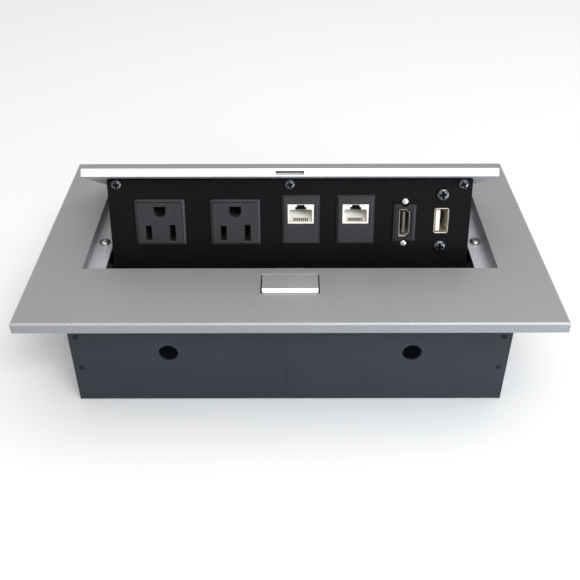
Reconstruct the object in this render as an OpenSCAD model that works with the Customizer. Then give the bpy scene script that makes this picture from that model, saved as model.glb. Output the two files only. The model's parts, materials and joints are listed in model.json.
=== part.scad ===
// Pop-up desk power box, recessed into a desk cut-out and shown with its tray raised.
// Z = 0 is the underside of the box and the origin is its centre. The front is -Y.

/* [Bezel] */
// Width of the bezel frame
bezel_w = 270; // [262:1:290]
// Depth of the bezel frame, front to back
bezel_d = 163.4; // [160:0.2:176]
// Thickness of the bezel frame
bezel_t = 6; // [5.6:0.1:7]
// Width of the opening in the bezel
opening_w = 218.2; // [216:0.1:222]
// Bezel in front of the opening
front_margin = 46.4; // [45:0.1:48]
// Bezel behind the opening
rear_margin = 19.5; // [18:0.1:19.5]
// Width of the ledge that runs down each side of the opening
ledge_w = 9; // [8:0.1:9.4]
// Depth of the ledge below the top of the bezel
ledge_drop = 8.15; // [8:0.05:8.6]

/* [Box] */
// Width over the end plates
box_w = 226.8; // [226:0.1:232]
// Depth over the front and rear walls
box_d = 133.4; // [132:0.1:140]
// Depth of the box below the desk surface
box_h = 58.8; // [58.8:0.1:75]
// Thickness of the box's sheet steel
sheet_t = 1.2; // [1:0.1:1.2]
// Diameter of the two holes in the front wall
wall_hole_d = 10; // [6:0.5:14]
// Distance between the two holes in the front wall
wall_hole_pitch = 126; // [100:1:140]
// Distance of those holes below the desk surface
wall_hole_drop = 25.5; // [20:0.5:30]
// Bore of the mains cable bushing in the rear wall
mains_bore_d = 9; // [7:0.5:11]
// Bore of the two data cable bushings in the rear wall
data_bore_d = 14; // [10:0.5:16]

/* [Tray] */
// Angle between the raised lid and the desk
open_angle = 33; // [28:0.5:33]
// Width of the lid
lid_w = 213.3; // [211:0.1:214]
// Thickness of the lid
lid_t = 4.4; // [4:0.1:4.4]
// Width of the latch slot in the lid's front edge
slot_w = 14.8; // [12:0.1:18]
// Width of the socket panel
panel_w = 191; // [189:0.5:192]
// Length of the socket panel, down from the lid
panel_len = 56; // [50:0.5:56]
// Thickness of the socket panel
panel_t = 1.6; // [1.2:0.1:1.8]
// Angle between the socket panel and a line square to the lid
panel_tilt = 19; // [17:0.5:20]
// Distance of the socket panel behind the lid's front edge
panel_inset = 8.9; // [8:0.1:10]

/* [Outlets and ports] */
// Width of a mains outlet's face
outlet_w = 26.5; // [25:0.1:28]
// Height of a mains outlet's face
outlet_h = 25.3; // [24:0.1:27]
// Distance between the two blades of a plug
blade_pitch = 12.7; // [12.6:0.1:12.8]
// Distance from the blades to the earth pin
earth_rise = 11.9; // [11.8:0.1:12]
// Width of a network socket's frame
keystone_w = 20.2; // [19:0.1:22]
// Height of a network socket's frame
keystone_h = 27.3; // [26:0.1:29]

/* [Button] */
// Width of the release button
button_w = 28.7; // [26:0.1:28.7]
// Travel of the release button
button_travel = 2; // [1:0.1:2]
// Latch travel for each millimetre of button travel
latch_ratio = 1.4; // [1.2:0.1:1.4]

/* [Hidden] */
$fn = 32;
eps = 0.01;                      // overshoot of every cut
tap_r = 1.25;                    // tapped hole for a small screw
screw_r = 1.2;                   // small screw's shank

// ---- places, measured from the desk surface ----
front_y = -bezel_d / 2;
rear_y = bezel_d / 2;
opening_front = front_y + front_margin;
opening_rear = rear_y - rear_margin;
ledge_z = bezel_t - ledge_drop;
ledge_t = 2;
ledge_in = opening_w / 2 - ledge_w;
tub_t = 2.5;                     // thickness of the bezel's inner side walls
tub_out = opening_w / 2 + tub_t;
hinge_bay_y = 46;                // the ledges stop here, in front of the hinge
hinge_bay_z = -8;
bezel_chamfer = 0.9;
flange_z = ledge_z - ledge_t;    // underside of the ledge, where the end plate's flange lies

// ---- hinge ----
pivot_y = 56.7;
pivot_z = -1;
pin_r = 2;
pin_clearance = 0.05;
bush_r = 3;
pin_in = 96;                     // inner end of a hinge pin
lug_in = 101.2;
lug_out = 105.8;
lug_r = 4.2;

// ---- lid, as it lies when closed ----
lid_gap = 0.9;
lid_front = opening_front + lid_gap;
lid_rear = pivot_y + 2.8;
lid_under = bezel_t - lid_t;
slot_z = [2.45, 4.6];            // lower and upper face of the latch slot
slot_depth = 2.6;

// ---- cheeks ----
cheek_t = 1.5;
cheek_x = panel_w / 2 - cheek_t / 2;
foot_z = lid_under - panel_len * cos(panel_tilt);
foot_len = 11;                   // how far the panel's foot runs back under the tray
foot_screw_x = [-80, 0, 80];
foot_screw_y = 7;                // cover screws behind the panel's lower edge
foot_y = lid_front + panel_inset + panel_len * sin(panel_tilt);
tray_floor = [5, foot_z];        // where the cover starts to rise, closed
tray_tail = [54.5, -8];          // where the cover ends, closed
cover_t = 1.2;

// ---- box walls ----
wall_out = box_d / 2;
wall_in = wall_out - sheet_t;
end_in = box_w / 2 - sheet_t;
groove_gap = 0.7;                // room round the box in the groove over its walls
groove_depth = 0.4;
seam_x = -2.3;
front_flange = 7;
rear_flange = 4;
tab_w = 10;
wall_screw_x = 109.3;
wall_screw_z = [-15, -35.5];
ledge_screw_x = 105;
ledge_screw_y = [1.5, 38];
mains_x = -70;
data_x = [45, 75];
bushing_z = -40;
terminal_x = -34;

// ---- outlets and ports, in panel coordinates ----
outlet_x = [-68.6, -28.9];
outlet_v = 23.75;
earth_v = 6.4;                   // earth hole above the middle of an outlet
keystone_x = [5.7, 34.6];
keystone_v = 22.45;
jack_v = 19.1;
jack_w = 14.1;
jack_h = 10.8;
hdmi_x = 60.6;
hdmi_v = 24.2;
hdmi_pitch = 23.2;
usb_x = 80.2;
usb_v = 23.2;
usb_pitch = 28.6;
usb_shell_x = 3.8;               // half the width of the USB socket's sleeve
usb_shell_z = 6.85;
ear_t = 3;                       // ears behind the panel that the socket screws hold
ear_reach = 3;
panel_screw_x = [-90.5, 0, 90.5];
panel_screw_v = 3.3;
rail_screw_x = [-70, -20, 20, 70];
rail_screw_y = lid_front + panel_inset + 8.5;
rail_z = -5;                     // underside of the panel rail, closed
rail_rear = lid_front + panel_inset + 13;

// ---- button and latch ----
button_rear = -41.2;
button_front = -57.1;
cutout_gap = 0.45;
cutout_w = 30;
latch_z = [2.8, 4.15];           // lower and upper face of the latch tongue
slider_z = [-5.4, -4];
pocket_front = -40.3;            // front of the latch's pocket in the bezel
floor_z = -11;                   // top of the latch bracket's floor
wedge_top = [-53, -3.5];         // where the button's wedge starts to slope
wedge_low = slider_z[0] - 0.6 - button_travel;
wedge_gap = 0.52;                // between the wedge and the slider, front to back
bracket_screws = [[-21.5, -53], [-21.5, -46], [21.5, -53], [21.5, -46]];
button_spring_x = 13.2;
button_spring_y = -49;

// ---- colours ----
silver = [0.68, 0.67, 0.66];
slate = [0.27, 0.29, 0.31];
black = [0.10, 0.10, 0.10];
charcoal = [0.17, 0.17, 0.18];
ivory = [0.92, 0.91, 0.88];
steel = [0.62, 0.62, 0.64];
brass = [0.80, 0.62, 0.28];

// ---- frames ----
module at_desk() {
    translate([0, 0, box_h]) children();
}

module on_tray() {
    at_desk() translate([0, pivot_y, pivot_z]) rotate([-open_angle, 0, 0])
        translate([0, -pivot_y, -pivot_z]) children();
}

// Panel coordinates: X across, Y into the panel, Z up from the panel's top edge.
module on_panel() {
    on_tray() translate([0, lid_front + panel_inset, lid_under])
        rotate([panel_tilt, 0, 0]) children();
}

module panel_at(x, v) {
    translate([x, 0, -v]) children();
}

// Where the back of the socket panel lies at height z, closed.
function panel_back(z) = lid_front + panel_inset + (lid_under - z) * tan(panel_tilt)
    + panel_t / cos(panel_tilt);

// ---- helpers ----
// Extrudes an outline given in Y and Z along X.
module along_x(width, x = 0) {
    translate([x, 0, 0]) rotate([90, 0, 90])
        linear_extrude(height = width, center = true) children();
}

// A block from one corner to the other.
module block(low, high) {
    translate(low) cube(high - low);
}

module both_sides() {
    children();
    mirror([1, 0, 0]) children();
}

// A round bar along Y, starting at y.
module y_bar(r, y, length) {
    translate([0, y, 0]) rotate([-90, 0, 0]) cylinder(r = r, h = length);
}

// A round bar along X, starting at x.
module x_bar(r, x, length) {
    translate([x, 0, 0]) rotate([0, 90, 0]) cylinder(r = r, h = length);
}

// A pan head screw pointing down, its head resting on Z = 0.
module pan_screw(head_r, head_h, shank_r, length) {
    rim = head_h * 0.45;
    difference() {
        union() {
            cylinder(r = head_r, h = rim);
            translate([0, 0, rim]) cylinder(r1 = head_r, r2 = head_r * 0.62, h = head_h - rim);
            translate([0, 0, -length]) cylinder(r = shank_r, h = length);
        }
        for (turn = [0, 90]) translate([0, 0, head_h]) rotate(turn)
            cube([head_r * 1.05, head_r * 0.26, head_h * 1.1], center = true);
    }
}

// A plate in panel coordinates with its four front edges bevelled.
module bevelled_face(width, height, rise, bevel) {
    difference() {
        translate([-width / 2, -rise, -height / 2]) cube([width, rise, height]);
        for (side = [-1, 1]) {
            translate([side * width / 2, -rise, 0]) rotate([0, 0, 45])
                cube([bevel * 1.4, bevel * 1.4, height + 1], center = true);
            translate([0, -rise, side * height / 2]) rotate([45, 0, 0])
                cube([width + 1, bevel * 1.4, bevel * 1.4], center = true);
        }
    }
}

// A round wire wound along Z.
module coil(mean_r, wire_r, length, turns) {
    sides = 6;
    steps = round(turns * 14);
    rise = length - 2 * wire_r;
    points = [for (i = [0 : steps], k = [0 : sides - 1])
        let (a = 360 * turns * i / steps, b = 360 * k / sides, r = mean_r + wire_r * cos(b))
        [r * cos(a), r * sin(a), wire_r + rise * i / steps + wire_r * sin(b)]];
    skin = [for (i = [0 : steps - 1], k = [0 : sides - 1])
        let (n = (k + 1) % sides, j = i * sides)
        [j + k, j + n, j + sides + n, j + sides + k]];
    ends = [[for (k = [sides - 1 : -1 : 0]) k], [for (k = [0 : sides - 1]) steps * sides + k]];
    polyhedron(points, concat(skin, ends), convexity = 8);
}

// ---- housing ----
// Groove in the bezel's underside over the top edges of the box's four walls.
module box_groove() difference() {
    block([-box_w / 2 - groove_gap, -wall_out - groove_gap, -1],
          [box_w / 2 + groove_gap, wall_out + groove_gap, groove_depth]);
    block([-end_in, -wall_in, -2], [end_in, wall_in, groove_depth + 1]);
}

module bezel_frame() color(silver) at_desk() {
    lap = 1;                     // how far walls and ledges run into what they join
    difference() {
        union() {
            difference() {
                block([-bezel_w / 2, front_y, 0], [bezel_w / 2, rear_y, bezel_t]);
                box_groove();
            }
            both_sides() {
                block([opening_w / 2, opening_front, flange_z], [tub_out, opening_rear, lap]);
                block([opening_w / 2, hinge_bay_y, hinge_bay_z], [tub_out, opening_rear, lap]);
                block([ledge_in, opening_front, flange_z], [opening_w / 2 + lap, hinge_bay_y, ledge_z]);
            }
        }
        // opening above the ledges, with a small chamfer round its top edge
        block([-opening_w / 2, opening_front, ledge_z], [opening_w / 2, opening_rear, bezel_t + 1]);
        block([-ledge_in, opening_front, flange_z - 1], [ledge_in, opening_rear, bezel_t]);
        for (y = [opening_front, opening_rear]) translate([0, y, bezel_t]) rotate([45, 0, 0])
            cube([opening_w + 0.7, 0.6, 0.6], center = true);
        for (x = [-1, 1]) translate([x * opening_w / 2, (opening_front + opening_rear) / 2, bezel_t])
            rotate([0, 45, 0]) cube([0.6, opening_rear - opening_front + 0.7, 0.6], center = true);
        // outer top edges
        for (y = [front_y, rear_y]) translate([0, y, bezel_t]) rotate([45, 0, 0])
            cube([bezel_w + 1, bezel_chamfer * 1.4, bezel_chamfer * 1.4], center = true);
        for (x = [-1, 1]) translate([x * bezel_w / 2, 0, bezel_t]) rotate([0, 45, 0])
            cube([bezel_chamfer * 1.4, bezel_d + 1, bezel_chamfer * 1.4], center = true);
        // button cut-out and the latch pocket behind it
        block([-cutout_w / 2, button_front - cutout_gap, -1],
              [cutout_w / 2, button_rear + cutout_gap, bezel_t + 1]);
        block([-slot_w / 2 - 0.4, pocket_front, -1], [slot_w / 2 + 0.4, opening_front + 1, 4.5]);
        // seats of the hinge bushes
        both_sides() translate([0, pivot_y, pivot_z]) x_bar(bush_r, opening_w / 2 - 1, tub_t + 1.4);
        for (s = bracket_screws) translate([s[0], s[1], -1]) cylinder(r = tap_r, h = 5);
        both_sides() for (y = ledge_screw_y) translate([ledge_screw_x, y, flange_z - 1])
            cylinder(r = 1.6, h = ledge_t + 2);
    }
}

module hinge_bushes() color(ivory) at_desk() both_sides() {
    translate([0, pivot_y, pivot_z]) difference() {
        x_bar(bush_r, opening_w / 2, tub_t);
        x_bar(pin_r + pin_clearance, opening_w / 2 - eps, tub_t + 2 * eps);
    }
}

// Half of the folded U that makes the front wall, floor and rear wall.
module box_shell(x0, x1) at_desk() difference() {
    union() {
        block([x0, -wall_out, -box_h], [x1, -wall_in, 0]);
        block([x0, wall_in, -box_h], [x1, wall_out, 0]);
        block([x0, -wall_out, -box_h], [x1, wall_out, sheet_t - box_h]);
        block([x0, -wall_out, -sheet_t], [x1, front_flange - wall_out, 0]);
        block([x0, wall_out - rear_flange, -sheet_t], [x1, wall_out, 0]);
    }
    for (side = [-1, 1]) {
        translate([side * wall_hole_pitch / 2, 0, -wall_hole_drop])
            y_bar(wall_hole_d / 2, -wall_out - 1, sheet_t + 2);
        for (z = wall_screw_z) translate([side * wall_screw_x, 0, z]) {
            y_bar(1, -wall_out - 1, sheet_t + 2);
            y_bar(1, wall_in - 1, sheet_t + 2);
        }
    }
    translate([mains_x, 0, bushing_z]) y_bar(mains_bore_d / 2 + 2, wall_in - 1, sheet_t + 2);
    for (x = data_x) translate([x, 0, bushing_z])
        y_bar(data_bore_d / 2 + 2, wall_in - 1, sheet_t + 2);
}

module box_shell_left() color(slate) box_shell(-end_in, seam_x);
module box_shell_right() color(slate) box_shell(seam_x, end_in);

module joint_strap() color(slate) at_desk() {
    low = -box_h + sheet_t;
    for (side = [-1, 1]) block([seam_x - 10, side > 0 ? wall_in - sheet_t : -wall_in, low],
        [seam_x + 10, side > 0 ? wall_in : sheet_t - wall_in, -14]);
    block([seam_x - 10, sheet_t - wall_in, low], [seam_x + 10, wall_in - sheet_t, low + sheet_t]);
}

module end_plate() at_desk() {
    block([end_in, -wall_out, -box_h], [end_in + sheet_t, wall_out, 0]);
    for (side = [-1, 1]) difference() {
        block([end_in - tab_w, side > 0 ? wall_in - sheet_t : -wall_in, 2 * sheet_t - box_h],
              [end_in, side > 0 ? wall_in : sheet_t - wall_in, -2 * sheet_t]);
        for (z = wall_screw_z) translate([wall_screw_x, 0, z])
            y_bar(1, side > 0 ? wall_in - 2 : -wall_in - 1, 3);
    }
    difference() {
        block([ledge_in + 0.4, opening_front + 1, flange_z - sheet_t], [end_in, hinge_bay_y - 2, flange_z]);
        for (y = ledge_screw_y) translate([ledge_screw_x, y, flange_z - sheet_t - eps])
            cylinder(r = 1.5, h = sheet_t + 2 * eps);
    }
}

module end_plate_left() color(slate) mirror([1, 0, 0]) end_plate();
module end_plate_right() color(slate) end_plate();

// Small black screws that hold the front and rear walls to the end plates' tabs.
module wall_screws() color(black) at_desk()
    for (side = [-1, 1], face = [0, 180], z = wall_screw_z)
        translate([side * wall_screw_x, 0, z]) rotate([0, 0, face])
            translate([0, -wall_out, 0]) rotate([90, 0, 0]) pan_screw(1.5, 0.5, 1, 2.4);

module ledge_screws() color(steel) at_desk() both_sides()
    for (y = ledge_screw_y) translate([ledge_screw_x, y, ledge_z]) pan_screw(3.1, 2, 1.5, 5.6);

module ledge_nuts() color(steel) at_desk() both_sides()
    for (y = ledge_screw_y) translate([ledge_screw_x, y, flange_z - sheet_t - 2.4]) difference() {
        cylinder(d = 6.2, h = 2.4, $fn = 6);
        translate([0, 0, -eps]) cylinder(r = 1.5, h = 2.4 + 2 * eps);
    }

// Folded bracket under the bezel that carries the latch slider and the springs.
module latch_bracket() color(steel) at_desk() {
    side_in = button_w / 2 + 2.45;
    side_out = side_in + 1;
    block([-side_out, -64.5, floor_z - sheet_t], [side_out, -41.5, floor_z]);
    block([-10, -64.5, floor_z - eps], [10, -63.3, -2.5]);
    both_sides() {
        block([side_in, -59, floor_z - eps], [side_out, -41.5, 0]);
        difference() {
            block([side_out - eps, -57, -sheet_t], [25, -42, 0]);
            for (s = bracket_screws) translate([s[0], s[1], -2]) cylinder(r = 1.5, h = 3);
        }
        block([6.2, -60, floor_z - eps], [10.2, -42, -5.7]);
        block([9.3, -60, -5.7 - eps], [10.2, -42, -3.9]);
    }
}

module latch_bracket_screws() color(steel) at_desk()
    for (s = bracket_screws) translate([s[0], s[1], -sheet_t]) mirror([0, 0, 1])
        pan_screw(2.5, 1.6, screw_r, 4.6);

module button_springs() color(steel) at_desk() both_sides()
    translate([button_spring_x, button_spring_y, floor_z]) coil(2, 0.3, -1.5 - floor_z, 6);

module latch_spring() color(steel) at_desk()
    translate([0, -63.3, -4.7]) rotate([-90, 0, 0]) coil(1.4, 0.25, 6.8, 6);

// Snap-in cable bushing: a flange on the outside and a ribbed barrel through the wall.
module bushing(bore_r) {
    difference() {
        union() {
            y_bar(bore_r + 4, wall_out, 2);
            y_bar(bore_r + 2, wall_in - 5, sheet_t + 5.5);
            y_bar(bore_r + 2.6, wall_in - 2.5, 2.5);
        }
        y_bar(bore_r, wall_in - 6, sheet_t + 10);
    }
}

module mains_bushing() color(black) at_desk()
    translate([mains_x, 0, bushing_z]) bushing(mains_bore_d / 2);

module data_bushings() color(black) at_desk()
    for (x = data_x) translate([x, 0, bushing_z]) bushing(data_bore_d / 2);

module terminal_block() color(ivory) at_desk() translate([terminal_x, 50, sheet_t - box_h]) difference() {
    union() {
        block([-18, -9, 0], [18, 9, 3]);
        for (pole = [-1 : 1]) block([pole * 11 - 4.8, -8, 0], [pole * 11 + 4.8, 8, 14]);
    }
    for (pole = [-1 : 1]) translate([pole * 11, 0, 7]) {
        y_bar(1.8, -9, 18);
        translate([0, -4, 0]) cylinder(r = 2.4, h = 8);
        translate([0, 4, 0]) cylinder(r = 2.4, h = 8);
    }
}

module terminal_screws() color(brass) at_desk() translate([terminal_x, 50, sheet_t - box_h])
    for (pole = [-1 : 1], y = [-4, 4]) translate([pole * 11, y, 9]) difference() {
        cylinder(r = 2.35, h = 4);
        translate([0, 0, 4]) cube([6, 0.8, 1.6], center = true);
    }

module earth_stud() color(brass) at_desk() translate([18, 52, sheet_t - box_h]) {
    cylinder(r = 2, h = 12);
    cylinder(r = 5, h = 1);
    translate([0, 0, 1 - eps]) cylinder(d = 8, h = 3.2, $fn = 6);
}

// ---- tray ----
module lid() color(silver) on_tray() difference() {
    block([-lid_w / 2, lid_front, lid_under], [lid_w / 2, lid_rear, bezel_t]);
    // latch slot in the front edge
    block([-slot_w / 2, lid_front - eps, slot_z[0]], [slot_w / 2, lid_front + slot_depth, slot_z[1]]);
    // rear edge, chamfered to clear the bezel as the lid rises
    translate([0, lid_rear, bezel_t]) rotate([45, 0, 0]) cube([lid_w + 1, 2.83, 2.83], center = true);
    // fine chamfers on the front and side edges
    translate([0, lid_front, bezel_t]) rotate([45, 0, 0]) cube([lid_w + 1, 0.5, 0.5], center = true);
    for (side = [-1, 1]) translate([side * lid_w / 2, 0, bezel_t]) rotate([0, 45, 0])
        cube([0.5, 2 * bezel_d, 0.5], center = true);
    // relief pockets for the hinge springs
    for (side = [-1, 1]) translate([side * 98.5 - 2.9, pivot_y - 4.4, lid_under - eps])
        cube([5.8, 8, 1.6]);
    for (x = rail_screw_x) translate([x, rail_screw_y, lid_under - eps]) cylinder(r = tap_r, h = 3);
}

// Bar under the lid that the top of the socket panel screws to.
module panel_rail() color(black) difference() {
    on_tray() along_x(panel_w - 6) polygon([[panel_back(lid_under), lid_under],
        [rail_rear, lid_under], [rail_rear, rail_z], [panel_back(rail_z), rail_z]]);
    on_panel() for (x = panel_screw_x) panel_at(x, panel_screw_v) y_bar(tap_r, 0, 5.6);
    // room for the USB socket's upper ear and screw
    on_panel() panel_at(usb_x, usb_v - usb_pitch / 2) {
        y_bar(2.2, 0, 20);
        block([-usb_shell_x - 1.2, 0, -20], [usb_shell_x + 1.2, panel_t + ear_t + 0.4, ear_reach + 0.4]);
    }
    on_tray() for (x = rail_screw_x) translate([x, rail_screw_y, rail_z - 1]) cylinder(r = 1.5, h = 9);
}

module rail_screws() color(steel) on_tray()
    for (x = rail_screw_x) translate([x, rail_screw_y, rail_z]) mirror([0, 0, 1])
        pan_screw(2.4, 1.5, screw_r, 9.2);

// The places of the cover's screws, in panel coordinates, at the underside of the foot.
module on_foot_screws() {
    for (x = foot_screw_x) translate([0, 0, -panel_len]) rotate([-panel_tilt, 0, 0])
        translate([x, foot_screw_y, -0.5]) children();
}

module socket_panel() color(black) on_panel() difference() {
    union() {
        block([-panel_w / 2, 0, -panel_len], [panel_w / 2, panel_t, -0.7]);
        // foot, folded level with the lid, that the cover screws to
        translate([0, 0, -panel_len]) rotate([-panel_tilt, 0, 0])
            block([-panel_w / 2 + 2.5, 0.1, 0], [panel_w / 2 - 2.5, foot_len, panel_t]);
    }
    on_foot_screws() cylinder(r = tap_r, h = 4);
    for (x = panel_screw_x) panel_at(x, panel_screw_v) y_bar(1.5, -1, 4);
    for (x = outlet_x) panel_at(x, outlet_v)
        block([-outlet_w / 2 + 1.2, -1, -outlet_h / 2 + 1.2], [outlet_w / 2 - 1.2, 4, outlet_h / 2 - 1.2]);
    for (x = keystone_x) panel_at(x, keystone_v)
        block([-keystone_w / 2 + 1.6, -1, -keystone_h / 2 + 1.6],
              [keystone_w / 2 - 1.6, 4, keystone_h / 2 - 1.6]);
    panel_at(hdmi_x, hdmi_v) block([-5, -1, -9.4], [5, 4, 9.4]);
    panel_at(usb_x, usb_v) block([-usb_shell_x - 0.3, -1, -usb_shell_z - 0.3],
                                 [usb_shell_x + 0.3, 4, usb_shell_z + 0.3]);
    for (side = [-1, 1]) {
        panel_at(hdmi_x, hdmi_v + side * hdmi_pitch / 2) y_bar(1.5, -1, 4);
        panel_at(usb_x, usb_v + side * usb_pitch / 2) y_bar(1.5, -1, 4);
    }
}

module panel_screws() color(black) on_panel()
    for (x = panel_screw_x) panel_at(x, panel_screw_v) rotate([90, 0, 0])
        pan_screw(2.75, 1.7, screw_r, 5.4);

// Side plate between the lid, the panel and the cover, with the tab that stops the tray.
module cheek() {
    drop = lid_under - tray_floor[1];
    start = lid_front + panel_inset + panel_t / cos(panel_tilt) + 0.1;
    on_tray() along_x(cheek_t, cheek_x - 0.8) polygon([
        [start, lid_under], [start + drop * tan(panel_tilt), tray_floor[1]],
        tray_floor, tray_tail, [pivot_y + 1, lid_under]]);
    at_desk() block([cheek_x - 0.1, -22, -8.8], [104, -8, -7.6]);
}

module cheek_left() color(black) mirror([1, 0, 0]) cheek();
module cheek_right() color(black) cheek();

module tray_cover() color(black) on_tray() difference() {
    top = foot_z - 0.05;
    under = top - cover_t;
    rise = (tray_tail[1] - tray_floor[1]) / (tray_tail[0] - tray_floor[0]);
    along_x(panel_w - 4) polygon([[foot_y + 2.4, under], [tray_floor[0], under],
        [tray_tail[0] + 0.4, tray_tail[1] - cover_t], [tray_tail[0], tray_tail[1] - 0.3],
        [tray_floor[0], top], [foot_y + 2.4, top]]);
    // louvres
    for (row = [0 : 4], x = [-60 : 24 : 60])
        translate([x, tray_floor[0] + 8 + row * 7.5, foot_z + (8 + row * 7.5) * rise])
            cube([18, 2, 8], center = true);
    for (x = foot_screw_x) translate([x, foot_y + foot_screw_y, under - 1]) cylinder(r = 1.5, h = 3);
}

module cover_screws() color(black) on_tray()
    for (x = foot_screw_x) translate([x, foot_y + foot_screw_y, foot_z - 0.05 - cover_t])
        mirror([0, 0, 1]) pan_screw(2.4, 1.4, screw_r, 2.7);

module hinge_lugs() color(steel) on_tray() both_sides() difference() {
    along_x(lug_out - lug_in, (lug_in + lug_out) / 2) difference() {
        union() {
            translate([pivot_y, pivot_z]) circle(r = lug_r);
            translate([pivot_y - 14, pivot_z - 1]) square([14 + lug_r - 1.5, 5]);
        }
        translate([pivot_y - 20, lid_under]) square([40, 10]);
    }
    translate([0, pivot_y, pivot_z]) x_bar(pin_r, lug_in - 1, 10);
}

module hinge_pins() color(steel) on_tray() both_sides()
    translate([0, pivot_y, pivot_z]) x_bar(pin_r, pin_in, tub_out - 0.2 - pin_in);

module hinge_springs() color(steel) both_sides() {
    on_tray() translate([pin_in + 0.3, pivot_y, pivot_z]) rotate([0, 90, 0]) coil(2.9, 0.45, 4.4, 4);
}

module stop_bumpers() color(black) at_desk() both_sides() {
    translate([100.5, -15, -7.6]) {
        cylinder(r = 2.6, h = 1.2);
        translate([0, 0, 1.2 - eps]) cylinder(r1 = 2.6, r2 = 1.8, h = 0.7);
    }
}

// Mains outlet, earth pin uppermost.
module outlet(x) on_panel() panel_at(x, outlet_v) difference() {
    union() {
        bevelled_face(outlet_w, outlet_h, 1.3, 1);
        bevelled_face(outlet_w - 3.2, outlet_h - 3.2, 2.5, 0.6);
        block([-outlet_w / 2 + 1.2, -eps, -outlet_h / 2 + 1.2],
              [outlet_w / 2 - 1.2, 25, outlet_h / 2 - 1.2]);
    }
    translate([0, 20, earth_v]) rotate([90, 0, 0]) linear_extrude(height = 30) union() {
        circle(r = 3.1);
        translate([-3.1, 0]) square([6.2, 2.5]);
    }
    for (slot = [[-1, 7.9], [1, 8.9]])
        translate([slot[0] * blade_pitch / 2 - 1.5, -5, earth_v - earth_rise - slot[1] / 2])
            cube([3, 25, slot[1]]);
}

module outlet_left() color(charcoal) outlet(outlet_x[0]);
module outlet_right() color(charcoal) outlet(outlet_x[1]);

// Folded blade contacts and the earth sleeve inside each outlet.
module outlet_contacts() color(brass) on_panel() for (x = outlet_x) panel_at(x, outlet_v) {
    for (side = [-1, 1], leaf = [-1, 1])
        translate([side * blade_pitch / 2 + leaf * 1.15 - 0.3, 6, earth_v - earth_rise - 3.6])
            cube([0.6, 13, 7.2]);
    translate([0, 0, earth_v]) difference() {
        y_bar(3, 7, 12);
        y_bar(2.5, 6, 14);
    }
}

// Frame that a network jack snaps into.
module keystone(x) on_panel() difference() {
    union() {
        panel_at(x, keystone_v) {
            bevelled_face(keystone_w, keystone_h, 1.9, 1.3);
            block([-keystone_w / 2 + 1.6, -eps, -keystone_h / 2 + 1.6],
                  [keystone_w / 2 - 1.6, 9, keystone_h / 2 - 1.6]);
        }
    }
    panel_at(x, jack_v) block([-jack_w / 2, -5, -jack_h / 2], [jack_w / 2, 12, jack_h / 2]);
}

module keystone_left() color(charcoal) keystone(keystone_x[0]);
module keystone_right() color(charcoal) keystone(keystone_x[1]);

module rj45_jack(x) on_panel() panel_at(x, jack_v) difference() {
    union() {
        block([-jack_w / 2, -1.5, -jack_h / 2], [jack_w / 2, 12, jack_h / 2]);
        block([-jack_w / 2, 12 - eps, -jack_h / 2 - 3], [jack_w / 2, 26, jack_h / 2]);
    }
    block([-5.9, -3, -4.3], [5.9, 11, 2.5]);
    block([-3.2, -3, 2.4], [3.2, 11, 4.2]);
    block([-1.7, -3, 4.1], [1.7, 11, jack_h / 2 + 1]);
}

module rj45_jack_left() color(ivory) rj45_jack(keystone_x[0]);
module rj45_jack_right() color(ivory) rj45_jack(keystone_x[1]);

// Eight spring wires in each jack.
module rj45_contacts() color(brass) on_panel() for (x = keystone_x, pin = [0 : 7])
    panel_at(x + (pin - 3.5) * 1.02, jack_v) along_x(0.45)
        polygon([[1.5, -4.3], [1.9, -4.3], [11, -1], [11, -0.5]]);

module hdmi_housing() color(black) on_panel() panel_at(hdmi_x, hdmi_v) difference() {
    union() {
        bevelled_face(12.1, 20.8, 1.6, 0.5);
        block([-4.9, -eps, -9.3], [4.9, 22, 9.3]);
        block([-4.9, panel_t, -hdmi_pitch / 2 - ear_reach],
              [4.9, panel_t + ear_t, hdmi_pitch / 2 + ear_reach]);
    }
    block([-2.9, -3, -7.6], [2.9, 14, 7.6]);
    for (side = [-1, 1]) translate([0, 0, side * hdmi_pitch / 2]) {
        y_bar(2.4, -3, 3);
        y_bar(1.55, 0, 10);
    }
}

// Folded metal sleeve, one long side narrower than the other.
module hdmi_shell() color(steel) on_panel() panel_at(hdmi_x, hdmi_v) translate([0, 13, 0])
    rotate([90, 0, 0]) linear_extrude(height = 14.2) difference() {
        polygon([[-2.85, -7.5], [-2.85, 7.5], [0.6, 7.5], [2.85, 5.6], [2.85, -5.6], [0.6, -7.5]]);
        polygon([[-2.45, -7.1], [-2.45, 7.1], [0.5, 7.1], [2.45, 5.4], [2.45, -5.4], [0.5, -7.1]]);
    }

module hdmi_tongue() color(black) on_panel() panel_at(hdmi_x, hdmi_v)
    block([-0.9, 1, -6], [0.6, 13.9, 6]);

module hdmi_posts() color(steel) on_panel() for (side = [-1, 1])
    panel_at(hdmi_x, hdmi_v + side * hdmi_pitch / 2) difference() {
        union() {
            translate([0, -1.8, 0]) rotate([-90, 0, 0]) cylinder(r = 2.3, h = 1.8, $fn = 6);
            y_bar(1.5, -eps, 7);
        }
        y_bar(0.9, -2, 5);
    }

module usb_body() color(black) on_panel() panel_at(usb_x, usb_v) difference() {
    union() {
        block([-usb_shell_x - 0.8, panel_t, -usb_shell_z - 0.9],
              [usb_shell_x + 0.8, 22, usb_shell_z + 0.9]);
        block([-usb_shell_x - 0.8, panel_t, -usb_pitch / 2 - ear_reach],
              [usb_shell_x + 0.8, panel_t + ear_t, usb_pitch / 2 + ear_reach]);
    }
    block([-usb_shell_x, 0, -usb_shell_z], [usb_shell_x, 17, usb_shell_z]);
    for (side = [-1, 1]) translate([0, 0, side * usb_pitch / 2]) y_bar(1.55, 0, 10);
}

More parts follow.
